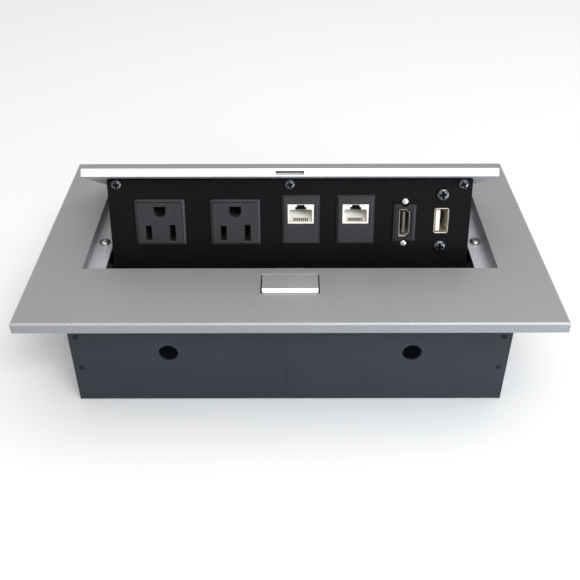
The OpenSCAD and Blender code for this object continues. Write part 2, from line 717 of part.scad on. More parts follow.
module usb_shell() color(steel) on_panel() panel_at(usb_x, usb_v) difference() {
    block([-usb_shell_x, -0.8, -usb_shell_z], [usb_shell_x, 16.9, usb_shell_z]);
    block([-usb_shell_x + 0.4, -2, -usb_shell_z + 0.5], [usb_shell_x - 0.4, 16.4, usb_shell_z - 0.5]);
}

module usb_tongue() color(ivory) on_panel() panel_at(usb_x, usb_v)
    block([-2.95, 0.2, -5.6], [-1.05, 16.4, 5.6]);

module usb_screws() color(black) on_panel() for (side = [-1, 1])
    panel_at(usb_x, usb_v + side * usb_pitch / 2) rotate([90, 0, 0]) pan_screw(3, 1.8, 1.5, 6);

// ---- button and latch ----
module button_cap() color(silver) at_desk() {
    difference() {
        union() {
            along_x(button_w) polygon([[button_rear, -0.31], [button_rear, 5.9], [-55.9, 8],
                [button_front, 6.1], [button_front, -0.31]]);
            along_x(button_w + 4.3) polygon([[button_rear, -1.5], [button_rear, -0.3],
                [button_front - 1.4, -0.3], [button_front - 1.4, -1.5]]);
        }
        block([-12.3, -54.6, -2], [12.3, -43.2, 3.9]);
    }
    // wedge that drives the slider, hung from a web across the hollow cap
    along_x(10) polygon([[wedge_top[0], 4], wedge_top,
        [wedge_top[0] + latch_ratio * (wedge_top[1] - wedge_low), wedge_low],
        [-44.7, wedge_low], [-44.7, 4]]);
}

module latch_slider() color(steel) at_desk() {
    cam_low = wedge_top[0] + latch_ratio * (wedge_top[1] - slider_z[0]) - wedge_gap;
    cam_high = wedge_top[0] + latch_ratio * (wedge_top[1] - slider_z[1]) - wedge_gap;
    along_x(18) polygon([[-56.5, slider_z[0]], [cam_low, slider_z[0]], [cam_high, slider_z[1]],
        [-56.5, slider_z[1]]]);
    both_sides() block([5.5, -53.5, slider_z[0]], [9, -40, slider_z[1]]);
    block([-9, -41.4, slider_z[0]], [9, -37.2, slider_z[1]]);
    // hook that rises into the bezel's pocket and carries the tongue
    block([-6.9, -37.4, slider_z[0]], [6.9, -35.8, latch_z[1]]);
    block([-6.9, -35.8 - eps, latch_z[0]], [6.9, -32.6, latch_z[1]]);
}

bezel_frame();
hinge_bushes();
box_shell_left();
box_shell_right();
joint_strap();
end_plate_left();
end_plate_right();
wall_screws();
ledge_screws();
ledge_nuts();
latch_bracket();
latch_bracket_screws();
button_springs();
latch_spring();
mains_bushing();
data_bushings();
terminal_block();
terminal_screws();
earth_stud();
lid();
panel_rail();
rail_screws();
socket_panel();
panel_screws();
cheek_left();
cheek_right();
tray_cover();
cover_screws();
hinge_lugs();
hinge_pins();
hinge_springs();
stop_bumpers();
outlet_left();
outlet_right();
outlet_contacts();
keystone_left();
keystone_right();
rj45_jack_left();
rj45_jack_right();
rj45_contacts();
hdmi_housing();
hdmi_shell();
hdmi_tongue();
hdmi_posts();
usb_body();
usb_shell();
usb_tongue();
usb_screws();
button_cap();
latch_slider();
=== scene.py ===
import json
import math

import bmesh
import bpy
from mathutils import Matrix, Vector

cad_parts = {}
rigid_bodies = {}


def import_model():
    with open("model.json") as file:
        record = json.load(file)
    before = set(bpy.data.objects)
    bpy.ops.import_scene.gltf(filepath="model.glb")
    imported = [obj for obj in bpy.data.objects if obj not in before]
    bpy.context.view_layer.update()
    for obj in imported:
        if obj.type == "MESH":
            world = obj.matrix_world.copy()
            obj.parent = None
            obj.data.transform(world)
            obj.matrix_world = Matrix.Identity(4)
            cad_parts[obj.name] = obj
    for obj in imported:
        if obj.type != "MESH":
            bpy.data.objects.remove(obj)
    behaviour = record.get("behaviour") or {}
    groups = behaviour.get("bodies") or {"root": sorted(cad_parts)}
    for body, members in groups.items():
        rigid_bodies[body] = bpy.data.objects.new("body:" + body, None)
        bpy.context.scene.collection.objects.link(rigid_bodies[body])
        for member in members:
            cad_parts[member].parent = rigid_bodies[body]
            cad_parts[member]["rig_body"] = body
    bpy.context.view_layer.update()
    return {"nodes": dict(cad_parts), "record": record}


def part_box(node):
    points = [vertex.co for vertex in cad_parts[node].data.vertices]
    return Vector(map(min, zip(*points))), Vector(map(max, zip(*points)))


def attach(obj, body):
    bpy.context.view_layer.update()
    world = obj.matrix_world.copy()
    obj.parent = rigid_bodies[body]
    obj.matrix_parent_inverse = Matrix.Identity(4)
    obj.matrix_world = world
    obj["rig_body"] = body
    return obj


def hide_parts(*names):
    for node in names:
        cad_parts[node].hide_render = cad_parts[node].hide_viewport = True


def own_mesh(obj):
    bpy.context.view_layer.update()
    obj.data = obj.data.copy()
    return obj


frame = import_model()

MM = 0.001
scene = bpy.context.scene
nodes = frame["nodes"]

# ---------------------------------------------------------------- camera

BEZEL_TOP = 6.0
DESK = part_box("bezel_frame")[1].z - BEZEL_TOP * MM

# millimetres from the middle of the desk's surface, and degrees
CAMERA_FROM_DESK = (-0.05, -381.4, 248.94)
CAMERA_PITCH, CAMERA_ROLL = 36.626, -0.094
LENS, SENSOR = 49.97, 36


def make_camera():
    data = bpy.data.cameras.new("camera")
    data.lens = LENS
    data.sensor_width = SENSOR
    data.clip_start = 0.01
    camera = bpy.data.objects.new("camera", data)
    scene.collection.objects.link(camera)
    x, y, z = CAMERA_FROM_DESK
    place = Matrix.Translation((x * MM, y * MM, DESK + z * MM))
    pitch = Matrix.Rotation(math.radians(90 - CAMERA_PITCH), 4, "X")
    roll = Matrix.Rotation(math.radians(CAMERA_ROLL), 4, "Z")
    camera.matrix_world = place @ pitch @ roll
    scene.camera = camera


make_camera()

# ---------------------------------------------------------------- materials

# most of a noise texture's values lie in this span
SPAN = (0.3, 0.7)


class Graph:
    """A small helper for building a material's node tree."""

    def __init__(self, name):
        self.material = bpy.data.materials.new(name)
        self.material.use_nodes = True
        self.tree = self.material.node_tree
        self.tree.nodes.clear()
        self.out = self.tree.nodes.new("ShaderNodeOutputMaterial")
        self.shader = self.tree.nodes.new("ShaderNodeBsdfPrincipled")
        self.link(self.shader.outputs[0], self.out.inputs[0])
        self.coords = self.tree.nodes.new("ShaderNodeTexCoord")

    def link(self, source, target):
        self.tree.links.new(source, target)

    def node(self, kind, **settings):
        n = self.tree.nodes.new(kind)
        for key, value in settings.items():
            setattr(n, key, value)
        return n

    def put(self, socket, value):
        """Sets one of the shader's values."""
        self.shader.inputs[socket].default_value = value

    def drive(self, socket, source):
        """Lets a texture set one of the shader's values."""
        self.link(source, self.shader.inputs[socket])

    def noise(self, size, detail=2.0):
        """Noise whose features are about size metres across."""
        n = self.node("ShaderNodeTexNoise")
        n.inputs["Scale"].default_value = 1 / size
        n.inputs["Detail"].default_value = detail
        self.link(self.coords.outputs["Object"], n.inputs["Vector"])
        return n.outputs[0]

    def stripes(self, size, direction):
        """Soft stripes, size metres apart, that cross the given direction."""
        dot = self.node("ShaderNodeVectorMath", operation="DOT_PRODUCT")
        length = Vector(direction).length
        dot.inputs[1].default_value = [c / length * 2 * math.pi / size for c in direction]
        self.link(self.coords.outputs["Object"], dot.inputs[0])
        wave = self.math("SINE", dot.outputs["Value"])
        return self.math("MULTIPLY_ADD", wave, 0.5, 0.5)

    def math(self, operation, *values):
        n = self.node("ShaderNodeMath", operation=operation)
        for i, v in enumerate(values):
            if isinstance(v, (int, float)):
                n.inputs[i].default_value = v
            else:
                self.link(v, n.inputs[i])
        return n.outputs[0]

    def ramp(self, value, low, high):
        """Runs from low to high over the span of a noise."""
        n = self.node("ShaderNodeMapRange")
        n.inputs["From Min"].default_value, n.inputs["From Max"].default_value = SPAN
        n.inputs["To Min"].default_value = low
        n.inputs["To Max"].default_value = high
        self.link(value, n.inputs["Value"])
        return n.outputs[0]

    def colours(self, value, low, high, stops=SPAN):
        """Fades from one colour to the other as value goes from one stop to the other."""
        n = self.node("ShaderNodeValToRGB")
        n.color_ramp.elements[0].position, n.color_ramp.elements[1].position = stops
        n.color_ramp.elements[0].color = (*low, 1)
        n.color_ramp.elements[1].color = (*high, 1)
        self.link(value, n.inputs[0])
        return n.outputs[0]

    def bump(self, height, depth, strength=1.0):
        """Raises the surface by depth metres where height is 1."""
        n = self.node("ShaderNodeBump")
        n.inputs["Strength"].default_value = strength
        n.inputs["Distance"].default_value = depth
        self.link(height, n.inputs["Height"])
        self.link(n.outputs[0], self.shader.inputs["Normal"])


def tint(colour, factor):
    return [min(1, c * factor) for c in colour]


def blasted_metal(name, colour, roughness, grain, metal, contrast=0.16):
    """Sand-blasted silver: fine grain and a slow drift of tone."""
    g = Graph(name)
    speckle = g.noise(grain, 3)
    drift = g.noise(0.09, 2)
    both = g.math("ADD", g.math("MULTIPLY", speckle, 0.85), g.math("MULTIPLY", drift, 0.15))
    tones = g.colours(both, tint(colour, 1 - contrast), tint(colour, 1 + contrast), (0.32, 0.68))
    g.drive("Base Color", tones)
    g.drive("Roughness", g.ramp(speckle, roughness - 0.04, roughness + 0.05))
    g.put("Metallic", metal)
    g.bump(speckle, 0.00003, 0.35)
    return g.material


def plain_metal(name, colour, roughness, grain=0.0006):
    """Plated or rolled metal with a fine grain and faint stains."""
    g = Graph(name)
    fine = g.noise(grain, 3)
    stain = g.noise(0.006, 3)
    g.drive("Base Color", g.colours(stain, tint(colour, 0.82), colour, (0.3, 0.65)))
    g.drive("Roughness", g.ramp(fine, roughness * 0.7, roughness * 1.35))
    g.put("Metallic", 1.0)
    g.bump(fine, 0.00002, 0.3)
    return g.material


def sheet_paint(name, colour, roughness):
    """Satin paint on sheet steel: a fine orange peel and a slight drift of tone."""
    g = Graph(name)
    peel = g.noise(0.0009, 2)
    drift = g.noise(0.05, 3)
    g.drive("Base Color", g.colours(drift, tint(colour, 0.88), tint(colour, 1.12)))
    g.drive("Roughness", g.ramp(drift, roughness - 0.05, roughness + 0.06))
    g.put("Specular IOR Level", 0.2)
    g.bump(peel, 0.00002, 0.5)
    return g.material


def woven_coat(name, colour, roughness):
    """Black coat with a fine diagonal crosshatch pressed into it."""
    pitch = 0.00105
    g = Graph(name)
    rise = g.stripes(pitch, (1, 0.24, 0.97))
    fall = g.stripes(pitch, (1, -0.24, -0.97))
    weave = g.math("MULTIPLY", rise, fall)
    grit = g.noise(0.0003, 2)
    drift = g.noise(0.04, 2)
    height = g.math("ADD", weave, g.math("MULTIPLY", grit, 0.5))
    tone = g.math("ADD", g.math("MULTIPLY", weave, 0.7), g.math("MULTIPLY", drift, 0.3))
    g.drive("Base Color", g.colours(tone, tint(colour, 0.45), tint(colour, 2.1), (0.12, 0.75)))
    g.drive("Roughness", g.ramp(grit, roughness - 0.06, roughness + 0.08))
    g.put("Specular IOR Level", 0.05)
    g.bump(height, 0.00008, 0.8)
    return g.material


def moulded(name, colour, roughness, gloss=0.4, grain=0.0004, depth=0.000015):
    """Moulded plastic with a spark-eroded grain."""
    g = Graph(name)
    spark = g.noise(grain, 3)
    cloud = g.noise(0.008, 3)
    g.drive("Base Color", g.colours(cloud, tint(colour, 0.90), tint(colour, 1.10)))
    g.drive("Roughness", g.ramp(cloud, roughness - 0.05, roughness + 0.05))
    g.put("Specular IOR Level", gloss)
    g.bump(spark, depth, 0.6)
    return g.material


RECIPES = {
    "bezel_aluminium": (blasted_metal, (0.365, 0.357, 0.356), 0.40, 0.0006, 0.3),
    # a lighter copy of the bezel's aluminium: painted light on the walls and ledges that the lid shades
    "recess_aluminium": (blasted_metal, (0.65, 0.66, 0.69), 0.36, 0.0006, 0.3),
    "lid_aluminium": (blasted_metal, (0.46, 0.46, 0.47), 0.42, 0.0006, 0.3),
    # near-white aluminium: painted highlight on the lid's front face and the button's front lip
    "bright_edge": (blasted_metal, (0.97, 0.97, 0.98), 0.30, 0.0006, 0.45, 0.02),
    # a darker copy of the bezel's aluminium: painted shade on the bezel's outer sides
    "cut_edge": (blasted_metal, (0.27, 0.275, 0.285), 0.36, 0.0006, 0.3),
    "button_aluminium": (blasted_metal, (0.54, 0.535, 0.545), 0.32, 0.0008, 0.4),
    "slate_steel": (sheet_paint, (0.027, 0.031, 0.038), 0.5),
    "black_sheet": (woven_coat, (0.0074, 0.0068, 0.0068), 0.50),
    "black_screws": (plain_metal, (0.15, 0.15, 0.155), 0.30, 0.0003),
    "black_oxide": (moulded, (0.008, 0.008, 0.009), 0.5, 0.25),
    "zinc_steel": (plain_metal, (0.66, 0.65, 0.62), 0.36),
    "spring_steel": (plain_metal, (0.50, 0.50, 0.51), 0.22),
    "plated_shell": (blasted_metal, (0.74, 0.67, 0.54), 0.34, 0.0006, 0.6),
    "contact_brass": (plain_metal, (0.36, 0.26, 0.13), 0.32),
    # near-black: painted shade in hollows and gaps
    "dark_cavity": (moulded, (0.004, 0.004, 0.004), 0.7, 0.05),
    "grey_plastic": (moulded, (0.13, 0.12, 0.105), 0.35),
    "ivory_plastic": (moulded, (0.90, 0.865, 0.78), 0.32),
    "charcoal_plastic": (moulded, (0.031, 0.029, 0.032), 0.42, 0.32),
    "black_plastic": (moulded, (0.024, 0.023, 0.024), 0.42, 0.14),
    "rubber": (moulded, (0.020, 0.020, 0.021), 0.72, 0.4, 0.0005, 0.00003),
}

MATERIALS = {name: make(name, *values) for name, (make, *values) in RECIPES.items()}
SLOTS = {s["node"]: s["material_slot"] for s in frame["record"]["subparts"]}


def paint(obj, slot):
    obj.data.materials.clear()
    obj.data.materials.append(MATERIALS[slot])


# edges sharper than this many degrees stay crisp, on CAD nodes and on the pieces made here
CAD_CREASE, CREASE = 30, 32


def smooth(obj):
    """Shades a CAD node smoothly."""
    for polygon in obj.data.polygons:
        polygon.use_smooth = True
    weld = obj.modifiers.new("weld", "WELD")
    weld.merge_threshold = 2e-6


def crisp(obj):
    """Shades a CAD node smoothly, with its edges left crisp."""
    smooth(obj)
    split = obj.modifiers.new("split", "EDGE_SPLIT")
    split.split_angle = math.radians(CAD_CREASE)


def rounded_wire(obj):
    """Rounds a spring's wire."""
    smooth(obj)
    obj.modifiers.new("wire", "SUBSURF").render_levels = 2


for name, obj in nodes.items():
    paint(obj, SLOTS[name])
    if name == "hinge_springs":
        rounded_wire(obj)
    else:
        crisp(obj)

# ---------------------------------------------------------------- places

# millimetres from here on, with Z = 0 at the desk's surface
PIVOT = Vector((0, 56.7, -1.0))
OPEN_ANGLE = math.radians(33)
PANEL_TILT = math.radians(19)
PANEL_TOP = Vector((0, -25.5, 1.6))

move = Matrix.Translation
IN_MM = move((0, 0, DESK)) @ Matrix.Scale(MM, 4)
ON_TRAY = IN_MM @ move(PIVOT) @ Matrix.Rotation(-OPEN_ANGLE, 4, "X") @ move(-PIVOT)
ON_PANEL = ON_TRAY @ move(PANEL_TOP) @ Matrix.Rotation(PANEL_TILT, 4, "X")
FACE_UP = Matrix.Identity(4)
FACE_FRONT = Matrix.Rotation(math.radians(90), 4, "X")
FACE_REAR = Matrix.Rotation(math.radians(-90), 4, "X")
FACE_DOWN = Matrix.Rotation(math.radians(180), 4, "X")
BOTH = (-1, 1)


def panel_at(x, down):
    """Where something sits on the socket panel: X across, Y into the panel, Z up it."""
    return ON_PANEL @ move((x, 0, -down))


# ---------------------------------------------------------------- modelling, in millimetres


def loft(rings, cap_start=True, cap_end=True):
    """A skin over rings of points that all hold the same number of points."""
    bm = bmesh.new()
    rows = [[bm.verts.new(p) for p in ring] for ring in rings]
    count = len(rows[0])
    for a, b in zip(rows, rows[1:]):
        for i in range(count):
            j = (i + 1) % count
            bm.faces.new((a[i], a[j], b[j], b[i]))
    if cap_start:
        bm.faces.new(list(reversed(rows[0])))
    if cap_end:
        bm.faces.new(rows[-1])
    bmesh.ops.recalc_face_normals(bm, faces=bm.faces)
    return bm


def ring_box(width, height, radius, depth, steps=5, centre=(0, 0)):
    """A rounded rectangle in X and Z at Y = depth."""
    points = []
    corners = [(1, 1, 0), (-1, 1, 90), (-1, -1, 180), (1, -1, 270)]
    for sx, sz, start in corners:
        for i in range(steps + 1):
            a = math.radians(start + 90 * i / steps)
            x = centre[0] + sx * (width / 2 - radius) + radius * math.cos(a)
            z = centre[1] + sz * (height / 2 - radius) + radius * math.sin(a)
            points.append((x, depth, z))
    return points


def box_loft(sections, steps=5, centre=(0, 0)):
    """Rounded rectangles (width, height, radius, depth) joined into one solid."""
    return loft([ring_box(w, h, r, d, steps, centre) for w, h, r, d in sections])


def turned(profile, segments=40):
    """A solid of revolution about Z from (radius, height) points that start and end on the axis."""
    bm = bmesh.new()
    rows = []
    for r, z in profile:
        if r == 0:
            rows.append([bm.verts.new((0, 0, z))])
            continue
        angles = [2 * math.pi * i / segments for i in range(segments)]
        rows.append([bm.verts.new((r * math.cos(a), r * math.sin(a), z)) for a in angles])
    for a, b in zip(rows, rows[1:]):
        for i in range(segments):
            j = (i + 1) % segments
            corners = [a[i % len(a)], a[j % len(a)], b[j % len(b)], b[i % len(b)]]
            bm.faces.new(list(dict.fromkeys(corners)))
    bmesh.ops.recalc_face_normals(bm, faces=bm.faces)
    return bm


def tube(profile, segments=40):
    """A ring of revolution about Z from a closed loop of (radius, height) points."""
    angles = [2 * math.pi * i / segments for i in range(segments + 1)]
    rings = [[(r * math.cos(a), r * math.sin(a), z) for r, z in profile] for a in angles]
    bm = loft(rings, cap_start=False, cap_end=False)
    bmesh.ops.remove_doubles(bm, verts=bm.verts, dist=1e-5)
    bmesh.ops.recalc_face_normals(bm, faces=bm.faces)
    return bm


def brick(low, high, edge=0.0):
    """A block from corner to corner, its edges bevelled by edge."""
    bm = bmesh.new()
    bmesh.ops.create_cube(bm, size=1)
    size = Vector(high) - Vector(low)
    middle = (Vector(high) + Vector(low)) / 2
    bmesh.ops.transform(bm, matrix=move(middle) @ Matrix.Diagonal((*size, 1)), verts=bm.verts)
    if edge:
        bmesh.ops.bevel(bm, geom=bm.edges, offset=edge, segments=2, profile=0.5, affect="EDGES")
    return bm


def extruded(outline, x0, x1):
    """An outline of (y, z) points drawn out along X."""
    return loft([[(x, y, z) for y, z in outline] for x in (x0, x1)])


def placed(bm, matrix):
    """A moved copy."""
    copy = bm.copy()
    bmesh.ops.transform(copy, matrix=matrix, verts=copy.verts)
    return copy


def joined(parts):
    """All the parts in one mesh, each left as it is."""
    whole = bmesh.new()
    for part in parts:
        mesh = bpy.data.meshes.new("part")
        part.to_mesh(mesh)
        whole.from_mesh(mesh)
        bpy.data.meshes.remove(mesh)
    return whole


def combined(bm, other, operation="DIFFERENCE"):
    """bm with other cut out of it, added to it, or kept only where both are."""
    objects = []
    for source in (bm, other):
        mesh = bpy.data.meshes.new("operand")
        source.to_mesh(mesh)
        obj = bpy.data.objects.new("operand", mesh)
        scene.collection.objects.link(obj)
        objects.append(obj)
    work, tool = objects
    boolean = work.modifiers.new("boolean", "BOOLEAN")
    boolean.solver = "EXACT"
    boolean.use_self = True
    boolean.operation = operation
    boolean.object = tool
    bpy.context.view_layer.update()
    result = work.evaluated_get(bpy.context.evaluated_depsgraph_get())
    made = bmesh.new()
    made.from_mesh(result.to_mesh())
    result.to_mesh_clear()
    for obj in objects:
        mesh = obj.data
        bpy.data.objects.remove(obj)
        bpy.data.meshes.remove(mesh)
    return made


def bevelled(bm, width, segments=2, angle=30):
    """Rounds every edge sharper than angle."""
    bmesh.ops.remove_doubles(bm, verts=bm.verts, dist=1e-4)
    bmesh.ops.dissolve_limit(bm, angle_limit=math.radians(0.5), verts=bm.verts, edges=bm.edges)
    limit = math.radians(angle)
    sharp = [e for e in bm.edges if len(e.link_faces) == 2 and e.calc_face_angle() > limit]
    bmesh.ops.bevel(bm, geom=sharp, offset=width, segments=segments, profile=0.5, affect="EDGES",
                    clamp_overlap=True)
    return bm


def shaded(bm):
    """Smooth faces, with the sharp edges left crisp."""
    limit = math.radians(CREASE)
    for face in bm.faces:
        face.smooth = True
    for edge in bm.edges:
        edge.smooth = len(edge.link_faces) != 2 or edge.calc_face_angle() < limit
    return bm


def mark(bm, index, chosen):
    """Marks the faces that chosen(normal, centre) picks out, for a finish of their own."""
    bm.normal_update()
    for face in bm.faces:
        if chosen(face.normal, face.calc_center_median()):
            face.material_index = index
    return bm


def show(name, parts, place, node, finish=None, marked=(), inserts=()):
    """Puts parts in the scene as one piece that stands for a CAD node.

    finish names a material other than the node's own, and marked the ones for marked faces.
    inserts are (parts, material) pairs that are moulded or pressed into the piece."""
    bm = joined(parts)
    materials = [finish or SLOTS[node], *marked]
    for extra, material in inserts:
        whole = joined(extra)
        for face in whole.faces:
            face.material_index = len(materials)
        materials.append(material)
        bm = joined([bm, whole])
    shaded(bm)
    bmesh.ops.transform(bm, matrix=place, verts=bm.verts)
    mesh = bpy.data.meshes.new(name)
    bm.to_mesh(mesh)
    bm.free()
    obj = bpy.data.objects.new(name, mesh)
    scene.collection.objects.link(obj)
    for material in materials:
        mesh.materials.append(MATERIALS[material])
    flat = obj.modifiers.new("flat", "WEIGHTED_NORMAL")
    flat.weight = 80
    flat.keep_sharp = True
    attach(obj, nodes[node]["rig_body"])
    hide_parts(node)
    return obj


# ---------------------------------------------------------------- screws


def pan_head_screw(head_r, head_h, shank_r, length, recess=True):
    """Pan head screw whose head stands up from Z = 0, with a Phillips recess or plain."""
    rim = head_h * 0.30
    steps = 9
    pitch = 0.5
    profile = [(0, head_h)]
    for i in range(1, steps + 1):
        a = math.pi / 2 * i / steps
        profile.append((head_r * math.sin(a) ** 0.85, rim + (head_h - rim) * math.cos(a) ** 0.9))
    profile += [(head_r, rim * 0.3), (head_r - rim * 0.3, 0), (shank_r, 0)]
    for i in range(int(length / pitch)):
        z = -i * pitch
        profile += [(shank_r, z - 0.1), (shank_r * 0.86, z - pitch * 0.5), (shank_r, z - pitch + 0.02)]
    profile += [(shank_r * 0.8, -length), (0, -length)]
    screw = turned(profile)
    if not recess:
        return screw
    # one arm of the cross, which narrows as it goes down
    arm = loft([[(x * half, y * wide, z) for x, y in ((1, 1), (-1, 1), (-1, -1), (1, -1))]
                for z, half, wide in ((head_h + 0.2, head_r * 0.68, head_r * 0.20),
                                      (-head_h * 0.35, head_r * 0.32, head_r * 0.13))])
    for turn in (0, 90):
        screw = combined(screw, placed(arm, Matrix.Rotation(math.radians(turn), 4, "Z")))
    return screw


def put_screws(name, node, frame_matrix, size, places, twist=17, finish=None):
    """Copies of one screw. Each is turned a little further than the last, as a hand leaves them.

    size holds what pan_head_screw takes, and places the spot of each and the way it faces."""
    screw = pan_head_screw(*size)
    copies = []
    for i, (spot, facing) in enumerate(places):
        turn = Matrix.Rotation(math.radians(twist * (2 * i + 1)), 4, "Z")
        copies.append(placed(screw, move(spot) @ facing @ turn))
    return show(name, copies, frame_matrix, node, finish=finish)


PANEL_W, PANEL_LEN, PANEL_T = 191.0, 56.0, 1.6
PANEL_SCREW_X, PANEL_SCREW_DOWN = (-90.5, 0, 90.5), 3.3
# across the panel, down it, and from the socket's middle to its screws
USB_X, USB_DOWN, USB_REACH = 80.2, 23.2, 14.3
HDMI_X, HDMI_DOWN, HDMI_REACH = 60.6, 24.2, 11.6
LEDGE_Z = -2.15
SHEET_T = 1.2
WALL_OUT = 66.7
LEDGE_SCREW_X, LEDGE_SCREW_YS = 105, (1.5, 38)
WALL_SCREW_X, WALL_SCREW_ZS = 109.3, (-15, -35.5)
RAIL_SCREW_XS = (-70, -20, 20, 70)
COVER_SCREW_XS = (-80, 0, 80)
BRACKET_SCREW_X, BRACKET_SCREW_YS = 21.5, (-53, -46)

put_screws("panel_pan_screws", "panel_screws", ON_PANEL, (2.75, 1.7, 1.2, 5.4),
           [((x, 0, -PANEL_SCREW_DOWN), FACE_FRONT) for x in PANEL_SCREW_X], 4)
put_screws("usb_pan_screws", "usb_screws", ON_PANEL, (3.4, 1.9, 1.5, 6),
           [((USB_X, 0, -USB_DOWN + s * USB_REACH), FACE_FRONT) for s in BOTH], 3)
put_screws("ledge_pan_screws", "ledge_screws", IN_MM, (3.1, 2.0, 1.5, 5.6),
           [((s * LEDGE_SCREW_X, y, LEDGE_Z), FACE_UP) for s in BOTH for y in LEDGE_SCREW_YS], 23)
put_screws("wall_pan_screws", "wall_screws", IN_MM, (1.5, 0.5, 1, 2.4),
           [((s * WALL_SCREW_X, side * WALL_OUT, z), FACE_FRONT if side < 0 else FACE_REAR)
            for s in BOTH for side in BOTH for z in WALL_SCREW_ZS], finish="black_oxide")
put_screws("rail_pan_screws", "rail_screws", ON_TRAY, (2.4, 1.5, 1.2, 9.2),
           [((x, -17, -5), FACE_DOWN) for x in RAIL_SCREW_XS])
put_screws("cover_pan_screws", "cover_screws", ON_TRAY, (2.4, 1.4, 1.2, 2.7),
           [((x, -0.27, -52.6), FACE_DOWN) for x in COVER_SCREW_XS])
put_screws("bracket_pan_screws", "latch_bracket_screws", IN_MM, (2.5, 1.6, 1.2, 4.6),
           [((s * BRACKET_SCREW_X, y, -SHEET_T), FACE_DOWN) for s in BOTH for y in BRACKET_SCREW_YS])

# ---------------------------------------------------------------- mains outlets

OUTLET_XS = {"outlet_left": -68.6, "outlet_right": -28.9}
OUTLET_DOWN = 23.75
OUTLET_W, OUTLET_H = 26.5, 25.3
OUTLET_LIP = 1.2
OUTLET_FACE = -2.5
EARTH_Z = 6.4
BLADE_X, BLADE_Z = 6.35, EARTH_Z - 11.9
BLADE_SLOTS = {-BLADE_X: 7.9, BLADE_X: 8.9}


FLARE = 0.3


def flared(width, height, radius, centre, front, depth, flare=FLARE):
    """A cutter with a chamfered mouth at Y = front that runs in as far as depth."""
    return box_loft([(width + 2 * flare + 0.4, height + 2 * flare + 0.4, radius + flare, front - 0.2),
                     (width, height, radius, front + flare),
                     (width, height, radius, depth)], 4, centre)


def earth_cutter(radius, top, front, depth):
    """A round hole with a flat top."""
    rings = []
    for grow, y in ((FLARE + 0.2, front - 0.2), (0, front + FLARE), (0, depth)):
        r = radius + grow
        ring = []
        for i in range(25):
            a = math.radians(180 + 180 * i / 24)
            ring.append((r * math.cos(a), y, EARTH_Z + r * math.sin(a)))
        ring += [(r, y, EARTH_Z + top + grow), (-r, y, EARTH_Z + top + grow)]
        rings.append(ring)
    return loft(rings)


def outlet_moulding():
    """The body behind the panel, then a flange and a raised face, each with eased edges."""
    w, h = OUTLET_W, OUTLET_H
    inner_w, inner_h = w - 2 * OUTLET_LIP, h - 2 * OUTLET_LIP
    body = box_loft([
        (inner_w, inner_h, 1.0, 25), (inner_w, inner_h, 1.0, 0), (w, h, 0.9, 0),
        (w, h, 0.9, -0.55), (w - 0.3, h - 0.3, 0.9, -0.85), (w - 1.6, h - 1.6, 0.8, -1.35),
        (w - 2.6, h - 2.6, 0.7, -1.40), (w - 2.8, h - 2.8, 0.7, -2.15), (w - 3.1, h - 3.1, 0.7, -2.40),
        (w - 3.8, h - 3.8, 0.7, OUTLET_FACE)])
    for x, height in BLADE_SLOTS.items():
        body = combined(body, flared(3.0, height, 0.25, (x, BLADE_Z), OUTLET_FACE, 21))
    body = combined(body, earth_cutter(3.1, 2.5, OUTLET_FACE, 21))
    parts = [body]
    # snap ribs on the body, behind the panel
    for side in BOTH:
        x = side * inner_w / 2
        parts.append(brick((x - 0.5, 1.8, -4), (x + 0.5, 4.5, 4), 0.2))
    return joined(parts)


outlet_body = outlet_moulding()
for node_name, x in OUTLET_XS.items():
    show(node_name + "_moulding", [outlet_body], panel_at(x, OUTLET_DOWN), node_name)


def blade_contact(side):
    """Two sprung leaves that grip a blade, flared at the mouth, joined behind by a strap."""
    leaves = []
    for leaf in BOTH:
        edge = [(5.0, 1.45), (6.4, 0.75), (11, 0.95), (18, 0.95)]
        outer = [(y, x + 0.35) for y, x in edge]
        loop = edge + outer[::-1]
        rings = [[(leaf * x, y, z) for y, x in loop] for z in (BLADE_Z - 3.3, BLADE_Z + 3.3)]
        leaves.append(placed(loft(rings), move((side * BLADE_X, 1.2, 0))))
    x = side * BLADE_X
    leaves.append(brick((x - 1.3, 18.6, BLADE_Z - 3.3), (x + 1.3, 19.2, BLADE_Z + 3.3)))
    return leaves


def outlet_contact_set():
    parts = blade_contact(-1) + blade_contact(1)
    sleeve = tube([(2.45, 7.4), (2.9, 7.0), (2.95, 16), (2.45, 16)], 28)
    parts.append(placed(sleeve, move((0, 0, EARTH_Z)) @ FACE_REAR))
    return joined(parts)


contacts = outlet_contact_set()
spread = [placed(contacts, move((x, 0, -OUTLET_DOWN))) for x in OUTLET_XS.values()]
show("outlet_spring_contacts", spread, ON_PANEL, "outlet_contacts")

# ---------------------------------------------------------------- network sockets

KEYSTONE_XS = {"left": 5.7, "right": 34.6}
KEYSTONE_DOWN, JACK_DOWN = 22.45, 19.1
KEYSTONE_W, KEYSTONE_H = 20.2, 27.3
KEYSTONE_LIP = 1.6
JACK_W, JACK_H = 14.1, 10.8
WIRE_PITCH = 1.02


def keystone_frame():
    """The frame round a jack: a body behind the panel and a flange with eased edges."""
    w, h = KEYSTONE_W, KEYSTONE_H
    inner_w, inner_h = w - 2 * KEYSTONE_LIP, h - 2 * KEYSTONE_LIP
    lift = KEYSTONE_DOWN - JACK_DOWN
    body = box_loft([
        (inner_w, inner_h, 0.8, 9), (inner_w, inner_h, 0.8, 0), (w, h, 0.8, 0),
        (w, h, 0.8, -0.5), (w - 0.25, h - 0.25, 0.8, -0.75), (w - 2.3, h - 2.3, 0.7, -1.75),
        (w - 2.8, h - 2.8, 0.6, -1.9)])
    return combined(body, flared(JACK_W, JACK_H, 0.2, (0, lift), -1.9, 12, 0.35))


